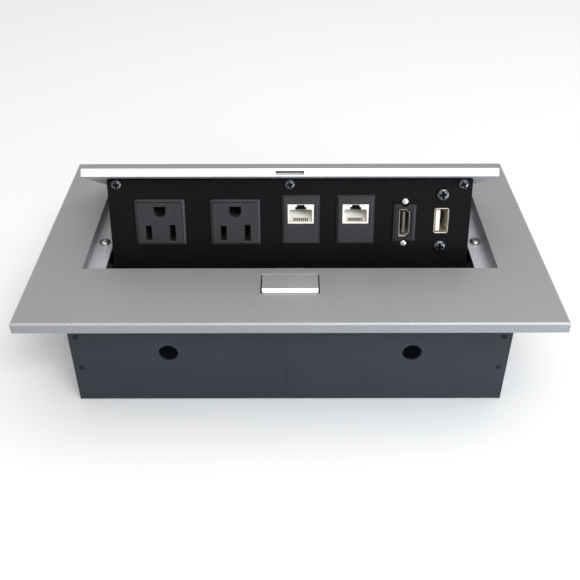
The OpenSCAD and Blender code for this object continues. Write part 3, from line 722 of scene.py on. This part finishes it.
def jack_body():
    """The jack: a stepped mouth for the plug and its clip, and a comb that holds the wires."""
    w, h = JACK_W - 0.1, JACK_H - 0.1
    body = box_loft([(w, h, 0.25, 12), (w, h, 0.25, -1.1), (w - 0.3, h - 0.3, 0.2, -1.35)])
    mouth = [(-5.9, -4.4), (5.9, -4.4), (5.9, 2.5), (2.95, 2.5), (2.95, 3.9), (2.05, 3.9),
             (2.05, 5.0), (-2.05, 5.0), (-2.05, 3.9), (-2.95, 3.9), (-2.95, 2.5), (-5.9, 2.5)]
    body = combined(body, loft([[(x, y, z) for x, z in mouth] for y in (-3, 10.6)]))
    # slope inside the mouth that the wires rise along
    slope = [(0.9, -4.45), (10.8, -4.45), (10.8, 1.2), (7.5, 0.6), (3.2, -2.9)]
    comb = [extruded(slope, -5.85, 5.85)]
    for i in range(9):
        x = (i - 4) * WIRE_PITCH
        rib = [(0.3, -4.45), (3.4, -4.45), (2.4, -3.3), (1.3, -3.6)]
        comb.append(extruded(rib, x - 0.14, x + 0.14))
    rear = box_loft([(w, h + 2.6, 0.5, 12), (w, h + 2.6, 0.5, 24.5), (w - 1, h + 1.6, 0.4, 25.9)],
                    4, (0, -1.4))
    return joined([body, rear] + comb)


def jack_wires():
    """Eight brass wires that lie between the comb's ribs."""
    wires = []
    path = [(0.4, -4.2), (0.9, -3.85), (1.6, -3.5), (2.3, -3.2),
            (2.5, -3.4), (1.9, -3.75), (1.1, -4.15), (0.7, -4.35)]
    for pin in range(8):
        x = (pin - 3.5) * WIRE_PITCH
        wires.append(extruded(path, x - 0.28, x + 0.28))
    return joined(wires)


frame_body = keystone_frame()
jack_shape = jack_body()
# a black block behind the jack's clip notch: painted shade in the notch
notch_shade_block = brick((-3.6, 1.3, 1.9), (3.6, 10.4, 5.2), 0.1)
for side, x in KEYSTONE_XS.items():
    show("keystone_" + side + "_frame", [frame_body], panel_at(x, KEYSTONE_DOWN), "keystone_" + side)
    show("rj45_jack_" + side + "_body", [jack_shape], panel_at(x, JACK_DOWN), "rj45_jack_" + side,
         inserts=[([notch_shade_block], "dark_cavity")])
wires = jack_wires()
show("rj45_wire_sets", [placed(wires, move((x, 0, -JACK_DOWN))) for x in KEYSTONE_XS.values()],
     ON_PANEL, "rj45_contacts")

# ---------------------------------------------------------------- video socket

SHELL_LOOP = [(-2.85, -7.5), (-2.85, 7.5), (0.6, 7.5), (2.85, 5.6), (2.85, -5.6), (0.6, -7.5)]
STRIP_PITCH, STRIP_HALF = 1.15, 0.3


def rounded_loop(points, radius, steps=4):
    """A closed outline with its corners rounded."""
    out = []
    count = len(points)
    for i in range(count):
        p = Vector(points[i])
        a = (Vector(points[i - 1]) - p).normalized()
        b = (Vector(points[(i + 1) % count]) - p).normalized()
        half = a.angle(b) / 2
        reach = radius / math.tan(half)
        centre = p + (a + b).normalized() * radius / math.sin(half)
        start, end = p + a * reach - centre, p + b * reach - centre
        sweep = start.angle_signed(end)
        for k in range(steps + 1):
            turn = Matrix.Rotation(-sweep * k / steps, 2)
            out.append(tuple(centre + turn @ start))
    return out


def inset_loop(points, by):
    """The outline moved in by a distance, for outlines that bulge everywhere."""
    count = len(points)
    out = []
    for i in range(count):
        p, q, r = (Vector(points[(i + k - 1) % count]) for k in range(3))
        n1 = Vector((-(q - p).y, (q - p).x)).normalized()
        n2 = Vector((-(r - q).y, (r - q).x)).normalized()
        corner = (n1 + n2).normalized()
        out.append(tuple(q - corner * by / corner.dot(n1)))
    return out


def sleeve_from(loop, thickness, corner, front, back):
    """A thin metal sleeve with a rounded lip, from an outline."""
    lip = 0.12
    outer = rounded_loop(loop, corner)
    inner = rounded_loop(inset_loop(loop, thickness), corner * 0.7)
    middle = rounded_loop(inset_loop(loop, thickness / 2), corner * 0.85)
    rings = [(outer, back), (outer, front + lip), (middle, front), (inner, front + lip), (inner, back)]
    bm = loft([[(x, y, z) for x, z in ring] for ring, y in rings], cap_start=False, cap_end=False)
    rim = loft([[(x, back, z) for x, z in ring] for ring in (outer, inner)], False, False)
    whole = joined([bm, rim])
    bmesh.ops.remove_doubles(whole, verts=whole.verts, dist=1e-4)
    bmesh.ops.recalc_face_normals(whole, faces=whole.faces)
    return whole


def hdmi_moulding():
    """The housing: a body and ears behind the panel, and a flange with a stepped mouth."""
    body = box_loft([
        (9.8, 18.6, 0.5, 22), (9.8, 18.6, 0.5, 4.6), (9.8, 29.2, 0.5, 4.6), (9.8, 29.2, 0.5, PANEL_T),
        (9.8, 18.6, 0.5, PANEL_T), (9.8, 18.6, 0.5, 0), (12.1, 20.8, 0.7, 0), (12.1, 20.8, 0.7, -0.9),
        (11.7, 20.4, 0.7, -1.25), (9.4, 18.6, 0.9, -1.55), (9.1, 18.3, 0.9, -1.6)])
    mouth = rounded_loop([(x * 1.09, z * 1.035) for x, z in SHELL_LOOP], 0.3)
    body = combined(body, loft([[(x, y, z) for x, z in mouth] for y in (-3, 14)]))
    # stepped surround of the mouth
    step = rounded_loop([(x * 1.32, z * 1.09) for x, z in SHELL_LOOP], 0.5)
    body = combined(body, loft([[(x, y, z) for x, z in step] for y in (-3, -1.1)]))
    for side in BOTH:
        notch = placed(turned([(0, -PANEL_T), (2.6, -PANEL_T), (2.6, 6), (0, 6)]),
                       move((0, 0, side * HDMI_REACH)) @ FACE_FRONT)
        body = combined(body, notch)
    return body


def hdmi_tongue_part():
    """The tongue, its front edges chamfered."""
    return box_loft([(1.5, 12, 0.2, 13.9), (1.5, 12, 0.2, 0.9), (1.1, 11.6, 0.2, 0.5)], 4, (-0.15, 0))


def hdmi_strips():
    """Ten contact strips on each face of the tongue."""
    strips = []
    for i in range(10):
        z = (i - 4.5) * STRIP_PITCH
        for x in (-0.93, 0.57):
            strips.append(brick((x, 0.9, z - STRIP_HALF), (x + 0.06, 12, z + STRIP_HALF)))
    return strips


hdmi_place = panel_at(HDMI_X, HDMI_DOWN)
show("hdmi_housing_moulding", [hdmi_moulding()], hdmi_place, "hdmi_housing")
show("hdmi_shell_sleeve", [sleeve_from(SHELL_LOOP, 0.3, 0.5, -1.0, 13)], hdmi_place, "hdmi_shell")
show("hdmi_tongue_moulding", [hdmi_tongue_part()], hdmi_place, "hdmi_tongue", finish="grey_plastic",
     inserts=[(hdmi_strips(), "contact_brass")])
put_screws("hdmi_post_screws", "hdmi_posts", ON_PANEL, (1.8, 1.0, 1.5, 7, False),
           [((HDMI_X, 0, -HDMI_DOWN + s * HDMI_REACH), FACE_FRONT) for s in BOTH], 12, "zinc_steel")

# ---------------------------------------------------------------- USB socket

USB_LOOP = [(-3.8, -6.85), (-3.8, 6.85), (3.8, 6.85), (3.8, -6.85)]


def usb_sleeve():
    """The shell, with spring tabs pressed out of its long sides."""
    parts = [sleeve_from(USB_LOOP, 0.35, 1.0, -0.6, 16.9)]
    for side in BOTH:
        for z in (-3.3, 3.3):
            tab = [(1.0, 3.4), (5.5, 2.7), (7.0, 3.1), (7.0, 3.3), (5.5, 2.95), (1.0, 3.6)]
            rings = [[(side * x, y, zz) for y, x in tab] for zz in (z - 0.9, z + 0.9)]
            parts.append(loft(rings))
    return joined(parts)


def usb_tongue_part():
    """The tongue, its front edges chamfered."""
    return box_loft([(2.3, 11.6, 0.25, 16.4), (2.3, 11.6, 0.25, 0.5), (1.9, 11.2, 0.25, 0.1)],
                    4, (-1.75, 0))


usb_place = panel_at(USB_X, USB_DOWN)
show("usb_shell_sleeve", [usb_sleeve()], usb_place, "usb_shell")
show("usb_tongue_moulding", [usb_tongue_part()], usb_place, "usb_tongue")

# ---------------------------------------------------------------- bezel, lid and panel

BEZEL_W, BEZEL_D = 270.0, 163.4
OPENING_W = 218.2
OPENING_FRONT, OPENING_REAR = -35.3, 62.2
LEDGE_UNDER = -4.15
LEDGE_IN = 100.1
LEDGE_END = 46.0
WALL_T = 2.5
# the button's cut-out and the half width of the pocket for the latch
CUT_W, CUT_FRONT, CUT_REAR = 30, -57.55, -40.75
POCKET_HALF = 7.8


def plan_ring(width, front, rear, radius, z, steps=5):
    """A rounded rectangle in X and Y at height z."""
    flat = ring_box(width, rear - front, radius, 0, steps, (0, (front + rear) / 2))
    return [(x, y, z) for x, _, y in flat]


def frame_loft(sections):
    """A flat frame: rounded rectangles (width, front, rear, radius, z) that end where they began."""
    rings = [plan_ring(*section) for section in sections]
    return loft(rings + rings[:1], cap_start=False, cap_end=False)


def bezel_plate():
    """The bezel, its outer edges rounded, with painted shade marked on its outer sides and a painted
    highlight on its chamfers.
    """
    w, f, r = BEZEL_W, -BEZEL_D / 2, BEZEL_D / 2
    ow, of, orr = OPENING_W, OPENING_FRONT, OPENING_REAR
    top = BEZEL_TOP
    plate = frame_loft([
        (w - 0.6, f + 0.3, r - 0.3, 0.5, 0), (w, f, r, 0.7, 0.3), (w, f, r, 0.7, top - 0.9),
        (w - 0.36, f + 0.18, r - 0.18, 0.7, top - 0.45), (w - 0.96, f + 0.48, r - 0.48, 0.6, top - 0.14),
        (w - 1.8, f + 0.9, r - 0.9, 0.5, top),
        (ow + 0.5, of - 0.25, orr + 0.25, 0.4, top), (ow + 0.15, of - 0.08, orr + 0.08, 0.35, top - 0.08),
        (ow, of, orr, 0.3, top - 0.25), (ow, of, orr, 0.3, 0)])
    bmesh.ops.remove_doubles(plate, verts=plate.verts, dist=1e-5)
    bmesh.ops.recalc_face_normals(plate, faces=plate.faces)
    # cut-out for the button, its top edge eased
    cut = loft([plan_ring(CUT_W + grow, CUT_FRONT - grow / 2, CUT_REAR + grow / 2, 1.1 + grow / 2, z)
                for grow, z in ((0.9, top + 0.3), (0, top - 0.25), (0, -1))])
    plate = combined(plate, cut)
    # pocket behind it for the latch, open to the opening
    pocket = brick((-POCKET_HALF, CUT_REAR - 0.75, -1), (POCKET_HALF, OPENING_FRONT + 1, 4.5))
    plate = combined(plate, pocket)

    def outside(centre):
        return abs(centre.x) > w / 2 - 0.95 or abs(centre.y) > r - 0.95

    # outer sides: a darker copy of the aluminium, painted shade
    mark(plate, 1, lambda normal, centre: abs(normal.z) < 0.2 and outside(centre))
    # chamfers: the lid's lighter aluminium, a painted highlight
    return mark(plate, 2, lambda normal, centre: 0.2 <= normal.z < 0.97 and outside(centre))


def bezel_tub():
    """Side walls and ledges of the opening."""
    parts = []
    wall_in, wall_out = OPENING_W / 2, OPENING_W / 2 + WALL_T
    for side in BOTH:
        mirror = Matrix.Diagonal((side, 1, 1, 1))
        pieces = [brick((wall_in, OPENING_FRONT, LEDGE_UNDER), (wall_out, LEDGE_END, 0)),
                  brick((wall_in, LEDGE_END, -8), (wall_out, OPENING_REAR, 0)),
                  brick((LEDGE_IN, OPENING_FRONT, LEDGE_UNDER), (wall_in + 0.6, LEDGE_END, LEDGE_Z), 0.2)]
        for piece in pieces:
            whole = placed(piece, mirror)
            bmesh.ops.recalc_face_normals(whole, faces=whole.faces)
            parts.append(whole)
    return parts


def button_gap_shades():
    """Black strips down the sides of the button's cut-out, painted shade for the gaps beside the button.
    """
    return [brick((s * 15.02, -57.2, -0.6), (s * 14.88, -41.1, BEZEL_TOP - 0.4)) for s in BOTH]


# the bezel's chamfers carry a painted highlight in the lid's lighter aluminium
show("bezel_body", [bezel_plate()], IN_MM, "bezel_frame", marked=["cut_edge", "lid_aluminium"],
     # the opening's walls and ledges carry painted light, a lighter copy of the bezel's aluminium
     inserts=[(bezel_tub(), "recess_aluminium"), (button_gap_shades(), "dark_cavity")])

LID_W = 213.3
LID_FRONT, LID_REAR = -34.4, 59.5
LID_UNDER = 1.6
SPRING_RELIEF_X, SPRING_RELIEF_HALF = 98.5, 2.9


def lid_plate():
    """The lid, with the latch's slot in its front edge and reliefs for the hinge springs, and a painted
    highlight marked on its front face.
    """
    profile = [(LID_FRONT, LID_UNDER), (LID_FRONT, BEZEL_TOP), (LID_REAR - 2, BEZEL_TOP),
               (LID_REAR, BEZEL_TOP - 2), (LID_REAR, LID_UNDER)]
    plate = extruded(profile, -LID_W / 2, LID_W / 2)
    plate = bevelled(plate, 0.42, 3)
    slot = bevelled(brick((-7.4, LID_FRONT - 2, 2.45), (7.4, LID_FRONT + 2.6, 4.6)), 0.25, 2)
    plate = combined(plate, slot)
    # undercut along the top of the slot
    plate = combined(plate, brick((-7.1, LID_FRONT + 1.8, 3.85), (7.1, LID_FRONT + 6, 4.6)))
    for side in BOTH:
        x = side * SPRING_RELIEF_X
        relief = brick((x - SPRING_RELIEF_HALF, 52.3, 1), (x + SPRING_RELIEF_HALF, 60.3, 3.2))
        plate = combined(plate, relief)
    # front face: painted highlight
    return mark(plate, 1, lambda normal, centre: normal.y < -0.8 and centre.y < LID_FRONT + 0.3)


show("lid_plate", [lid_plate()], ON_TRAY, "lid", marked=["bright_edge"])


def socket_plate():
    """The panel with a window for each socket, and the foot folded back along its lower edge."""
    plate = brick((-PANEL_W / 2, 0, -PANEL_LEN), (PANEL_W / 2, PANEL_T, -0.7), 0.22)
    foot_turn = move((0, 0, -PANEL_LEN)) @ Matrix.Rotation(-PANEL_TILT, 4, "X")
    foot = placed(brick((-PANEL_W / 2 + 2.5, 0.3, 0), (PANEL_W / 2 - 2.5, 11, PANEL_T), 0.2), foot_turn)
    windows = [((x, -OUTLET_DOWN), OUTLET_W - 2 * OUTLET_LIP, OUTLET_H - 2 * OUTLET_LIP)
               for x in OUTLET_XS.values()]
    windows += [((x, -KEYSTONE_DOWN), KEYSTONE_W - 2 * KEYSTONE_LIP, KEYSTONE_H - 2 * KEYSTONE_LIP)
                for x in KEYSTONE_XS.values()]
    windows += [((HDMI_X, -HDMI_DOWN), 10, 18.8), ((USB_X, -USB_DOWN), 8.2, 14.3)]
    for centre, w, h in windows:
        plate = combined(plate, box_loft([(w, h, 0.5, -2), (w, h, 0.5, 4)], 3, centre))
    return [plate, foot]


show("socket_plate", socket_plate(), ON_PANEL, "socket_panel")

# ---------------------------------------------------------------- box

BOX_H = 58.8
END_IN = 112.2
SEAM_X = -2.3
SEAM_HALF = 0.06
FLANGE_FRONT, FLANGE_REAR = -59.7, 62.7
FRONT_HOLE_X, FRONT_HOLE_R, FRONT_HOLE_Z = 63, 5.0, -25.5
# cable bushings in the rear wall: where they sit and the radius of each bore
LEAD_Z = -40
MAINS_XS, MAINS_BORE = (-70,), 4.5
DATA_XS, DATA_BORE = (45, 75), 7
BARREL_T = 2


def sheet_path(points, radius):
    """The path of a folded sheet's outer face, with its bends rounded."""
    steps = 6
    out = [Vector(points[0])]
    for a, p, b in zip(points, points[1:], points[2:]):
        p = Vector(p)
        u = (Vector(a) - p).normalized()
        v = (Vector(b) - p).normalized()
        for k in range(steps + 1):
            t = math.pi / 2 * k / steps
            out.append(p + u * radius * (1 - math.sin(t)) + v * radius * (1 - math.cos(t)))
    return out + [Vector(points[-1])]


def drill(radius):
    """Profile of a drill that passes through a wall at Z = 0."""
    return [(0, -3), (radius, -3), (radius, 3), (0, 3)]


def folded_shell(x0, x1):
    """Floor, front wall and rear wall folded from one sheet, with a flange along each top edge."""
    t = SHEET_T
    outer = [(FLANGE_FRONT, 0), (-WALL_OUT, 0), (-WALL_OUT, -BOX_H),
             (WALL_OUT, -BOX_H), (WALL_OUT, 0), (FLANGE_REAR, 0)]
    inner = [(FLANGE_FRONT, -t), (-WALL_OUT + t, -t), (-WALL_OUT + t, t - BOX_H),
             (WALL_OUT - t, t - BOX_H), (WALL_OUT - t, -t), (FLANGE_REAR, -t)]
    loop = sheet_path(outer, 1.5) + sheet_path(inner, 0.4)[::-1]
    shell = loft([[(x, y, z) for y, z in loop]
                  for x in (x0, x0 + 0.05, x1 - 0.05, x1)])
    wall = WALL_OUT - t / 2
    cutters = []
    for side in BOTH:
        place = move((side * FRONT_HOLE_X, -wall, FRONT_HOLE_Z)) @ FACE_FRONT
        cutters.append(placed(turned(drill(FRONT_HOLE_R), 48), place))
    for xs, bore in ((MAINS_XS, MAINS_BORE), (DATA_XS, DATA_BORE)):
        for x in xs:
            hole = turned(drill(bore + BARREL_T))
            cutters.append(placed(hole, move((x, wall, LEAD_Z)) @ FACE_REAR))
    for cutter in cutters:
        xs = [v.co.x for v in cutter.verts]
        if min(xs) > x0 and max(xs) < x1:
            shell = combined(shell, cutter)
    return shell


show("box_left_sheet", [folded_shell(-END_IN, SEAM_X - SEAM_HALF)], IN_MM, "box_shell_left")
show("box_right_sheet", [folded_shell(SEAM_X + SEAM_HALF, END_IN)], IN_MM, "box_shell_right")


def end_sheet(side):
    """End wall with the tabs that the other walls screw to and the flange under the ledge."""
    t = SHEET_T
    outline = [(-WALL_OUT, 0), (WALL_OUT, 0), (WALL_OUT, -BOX_H), (-WALL_OUT, -BOX_H)]
    corners = rounded_loop([outline[0], outline[3], outline[2], outline[1]], 1.2, 5)
    plate = bevelled(extruded(corners, END_IN, END_IN + t), 0.2, 2, 40)
    parts = [plate]
    for y in BOTH:
        low, high = sorted((y * (WALL_OUT - t), y * (WALL_OUT - 2 * t)))
        parts.append(brick((END_IN - 10, low, 2 * t - BOX_H), (END_IN + 0.2, high, -2 * t), 0.2))
    parts.append(brick((LEDGE_IN + 0.4, OPENING_FRONT + 1, LEDGE_UNDER - t),
                       (END_IN + 0.2, LEDGE_END - 2, LEDGE_UNDER), 0.2))
    whole = placed(joined(parts), Matrix.Diagonal((side, 1, 1, 1)))
    bmesh.ops.recalc_face_normals(whole, faces=whole.faces)
    return whole


show("end_left_sheet", [end_sheet(-1)], IN_MM, "end_plate_left")
show("end_right_sheet", [end_sheet(1)], IN_MM, "end_plate_right")


def cable_bushing(bore):
    """Snap-in bushing, its head outward along +Z and its barrel split into fingers by grooves."""
    head, barrel = bore + 4, bore + BARREL_T
    catch = barrel + 0.6
    profile = [(bore, -6.2), (barrel - 0.4, -6.2), (barrel, -5.8), (barrel, -3.9), (catch, -3.6),
               (catch, -2.8), (barrel, -1.3), (barrel, 0), (head, 0), (head, 1.1), (head - 0.3, 1.7),
               (head - 1.0, 2.0), (bore + 0.9, 2.0), (bore + 0.3, 1.8), (bore, 1.2)]
    body = tube(profile, 48)
    for i in range(4):
        turn = Matrix.Rotation(math.radians(45 + 90 * i), 4, "Z")
        body = combined(body, placed(brick((bore - 1, -0.5, -7), (bore + 6, 0.5, -1.6)), turn))
    return body


def bushings_at(xs, bore):
    """A bushing in the rear wall at each x."""
    return [placed(cable_bushing(bore), move((x, WALL_OUT, LEAD_Z)) @ FACE_REAR) for x in xs]


show("mains_bushing_moulding", bushings_at(MAINS_XS, MAINS_BORE), IN_MM, "mains_bushing")
show("data_bushing_mouldings", bushings_at(DATA_XS, DATA_BORE), IN_MM, "data_bushings")

# ---------------------------------------------------------------- button

BUTTON_W = 28.7
BUTTON_REAR, BUTTON_FRONT = -41.2, -57.1
BUTTON_UNDER = -0.31
LIP_Y, LIP_Z = -55.9, 8.0
SKIRT_SIDE, SKIRT_FRONT = 2.15, 1.4


def button_body():
    """The cap: a wedge that rises to a bevelled lip at the front, marked for a painted highlight, with a
    skirt under the bezel.
    """
    half = BUTTON_W / 2
    side = [(BUTTON_REAR, BUTTON_UNDER), (BUTTON_REAR, 5.9), (LIP_Y, LIP_Z),
            (BUTTON_FRONT, 6.1), (BUTTON_FRONT, BUTTON_UNDER)]
    cap = extruded(side, -half, half)
    prism = loft([plan_ring(BUTTON_W, BUTTON_FRONT, BUTTON_REAR, 1.0, z, 6) for z in (-1, 9)])
    cap = combined(cap, prism, "INTERSECT")
    cap = bevelled(cap, 0.18, 3, 25)
    # front lip: painted highlight
    cap = mark(cap, 1, lambda normal, centre: normal.y < -0.3 and centre.y < LIP_Y + 0.1)
    skirt = brick((-half - SKIRT_SIDE, BUTTON_FRONT - SKIRT_FRONT, -1.5),
                  (half + SKIRT_SIDE, BUTTON_REAR, -0.3), 0.2)
    cap = joined([cap, skirt])
    cap = combined(cap, brick((-12.3, -54.6, -3), (12.3, -43.2, 3.9)))
    wedge = [(-53, 4), (-53, -3.5), (-46.7, -8), (-44.7, -8), (-44.7, 4)]
    return [cap, bevelled(extruded(wedge, -5, 5), 0.3, 2)]


show("button_body", button_body(), IN_MM, "button_cap", marked=["bright_edge"])

# ---------------------------------------------------------------- springs under the button

WIRE_SIDES = 10
STEPS_PER_TURN = 24


def coil(radius, wire, length, turns):
    """A compression spring that stands on Z = 0. Its first and last turns lie closed."""
    rings = []
    pitch = (length - 6 * wire) / (turns - 2)
    for i in range(turns * STEPS_PER_TURN + 1):
        turn = i / STEPS_PER_TURN
        closed = min(turn, 1) + max(turn - turns + 1, 0)
        z = wire + closed * 2 * wire + (turn - closed) * pitch
        a = 2 * math.pi * turn
        ring = []
        for k in range(WIRE_SIDES):
            b = 2 * math.pi * k / WIRE_SIDES
            r = radius + wire * math.cos(b)
            ring.append((r * math.cos(a), r * math.sin(a), z + wire * math.sin(b)))
        rings.append(ring)
    return loft(rings)


BRACKET_FLOOR = -11.0
BUTTON_SPRING, BUTTON_TRAVEL = 9.5, 2.0
BUTTON_SPRING_X, BUTTON_SPRING_Y = 13.2, -49
LATCH_BACKSTOP, LATCH_SPRING_Z = -63.3, -4.7
LATCH_SPRING, LATCH_TRAVEL = 6.8, 2.8

button_coil = coil(2.0, 0.3, BUTTON_SPRING, 6)
button_feet = [move((s * BUTTON_SPRING_X, BUTTON_SPRING_Y, BRACKET_FLOOR)) for s in BOTH]
button_coils = show("button_coils", [placed(button_coil, foot) for foot in button_feet],
                    IN_MM, "button_springs")
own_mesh(button_coils)

latch_foot = move((0, LATCH_BACKSTOP, LATCH_SPRING_Z)) @ FACE_REAR
latch_coil = show("latch_coil", [placed(coil(1.4, 0.25, LATCH_SPRING, 6), latch_foot)],
                  IN_MM, "latch_spring")
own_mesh(latch_coil)

# ---------------------------------------------------------------- stage and light

# metres, watts and world axes from here on
FLOOR_HALF = 6.0
WORLD_COLOUR, WORLD_STRENGTH = (1.0, 0.995, 0.985, 1), 0.39
# name: centre, target, width and height, power, colour
SOFTBOXES = {
    "key": ((0.42, -1.02, 1.22), (0, 0, DESK), (0.8, 0.35), 10.0, (0.95, 0.98, 1.0)),
    "front": ((0.15, -1.35, 0.66), (0, 0, DESK), (2.2, 0.30), 3.2, (0.86, 0.94, 1.0)),
    "low": ((0.50, -0.50, 0.05), (0.07, -0.07, 0.02), (0.30, 0.08), 2.3, (0.70, 0.83, 1.0)),
    "top": ((0.30, 0.12, 1.8), (0, 0.10, 0), (2.9, 2.7), 24.0, (1.0, 0.985, 0.97)),
}


def make_floor():
    mesh = bpy.data.meshes.new("floor")
    corners = [(x * FLOOR_HALF, y * FLOOR_HALF, 0) for x, y in ((-1, -1), (1, -1), (1, 1), (-1, 1))]
    mesh.from_pydata(corners, [], [(0, 1, 2, 3)])
    floor = bpy.data.objects.new("floor", mesh)
    scene.collection.objects.link(floor)
    g = Graph("floor")
    g.put("Base Color", (0.97, 0.97, 0.97, 1))
    g.put("Roughness", 0.9)
    g.put("Specular IOR Level", 0.1)
    mesh.materials.append(g.material)


def softbox(name, centre, target, size, power, colour):
    data = bpy.data.lights.new(name, "AREA")
    data.shape = "RECTANGLE"
    data.size, data.size_y = size
    data.energy = power
    data.color = colour
    lamp = bpy.data.objects.new(name, data)
    scene.collection.objects.link(lamp)
    aim = (Vector(target) - Vector(centre)).to_track_quat("-Z", "Y")
    lamp.matrix_world = Matrix.Translation(centre) @ aim.to_matrix().to_4x4()


def make_lights():
    world = bpy.data.worlds.new("studio")
    world.use_nodes = True
    background = world.node_tree.nodes["Background"]
    background.inputs["Color"].default_value = WORLD_COLOUR
    background.inputs["Strength"].default_value = WORLD_STRENGTH
    scene.world = world
    for name, values in SOFTBOXES.items():
        softbox(name, *values)


make_floor()
make_lights()
scene.view_settings.view_transform = "Standard"
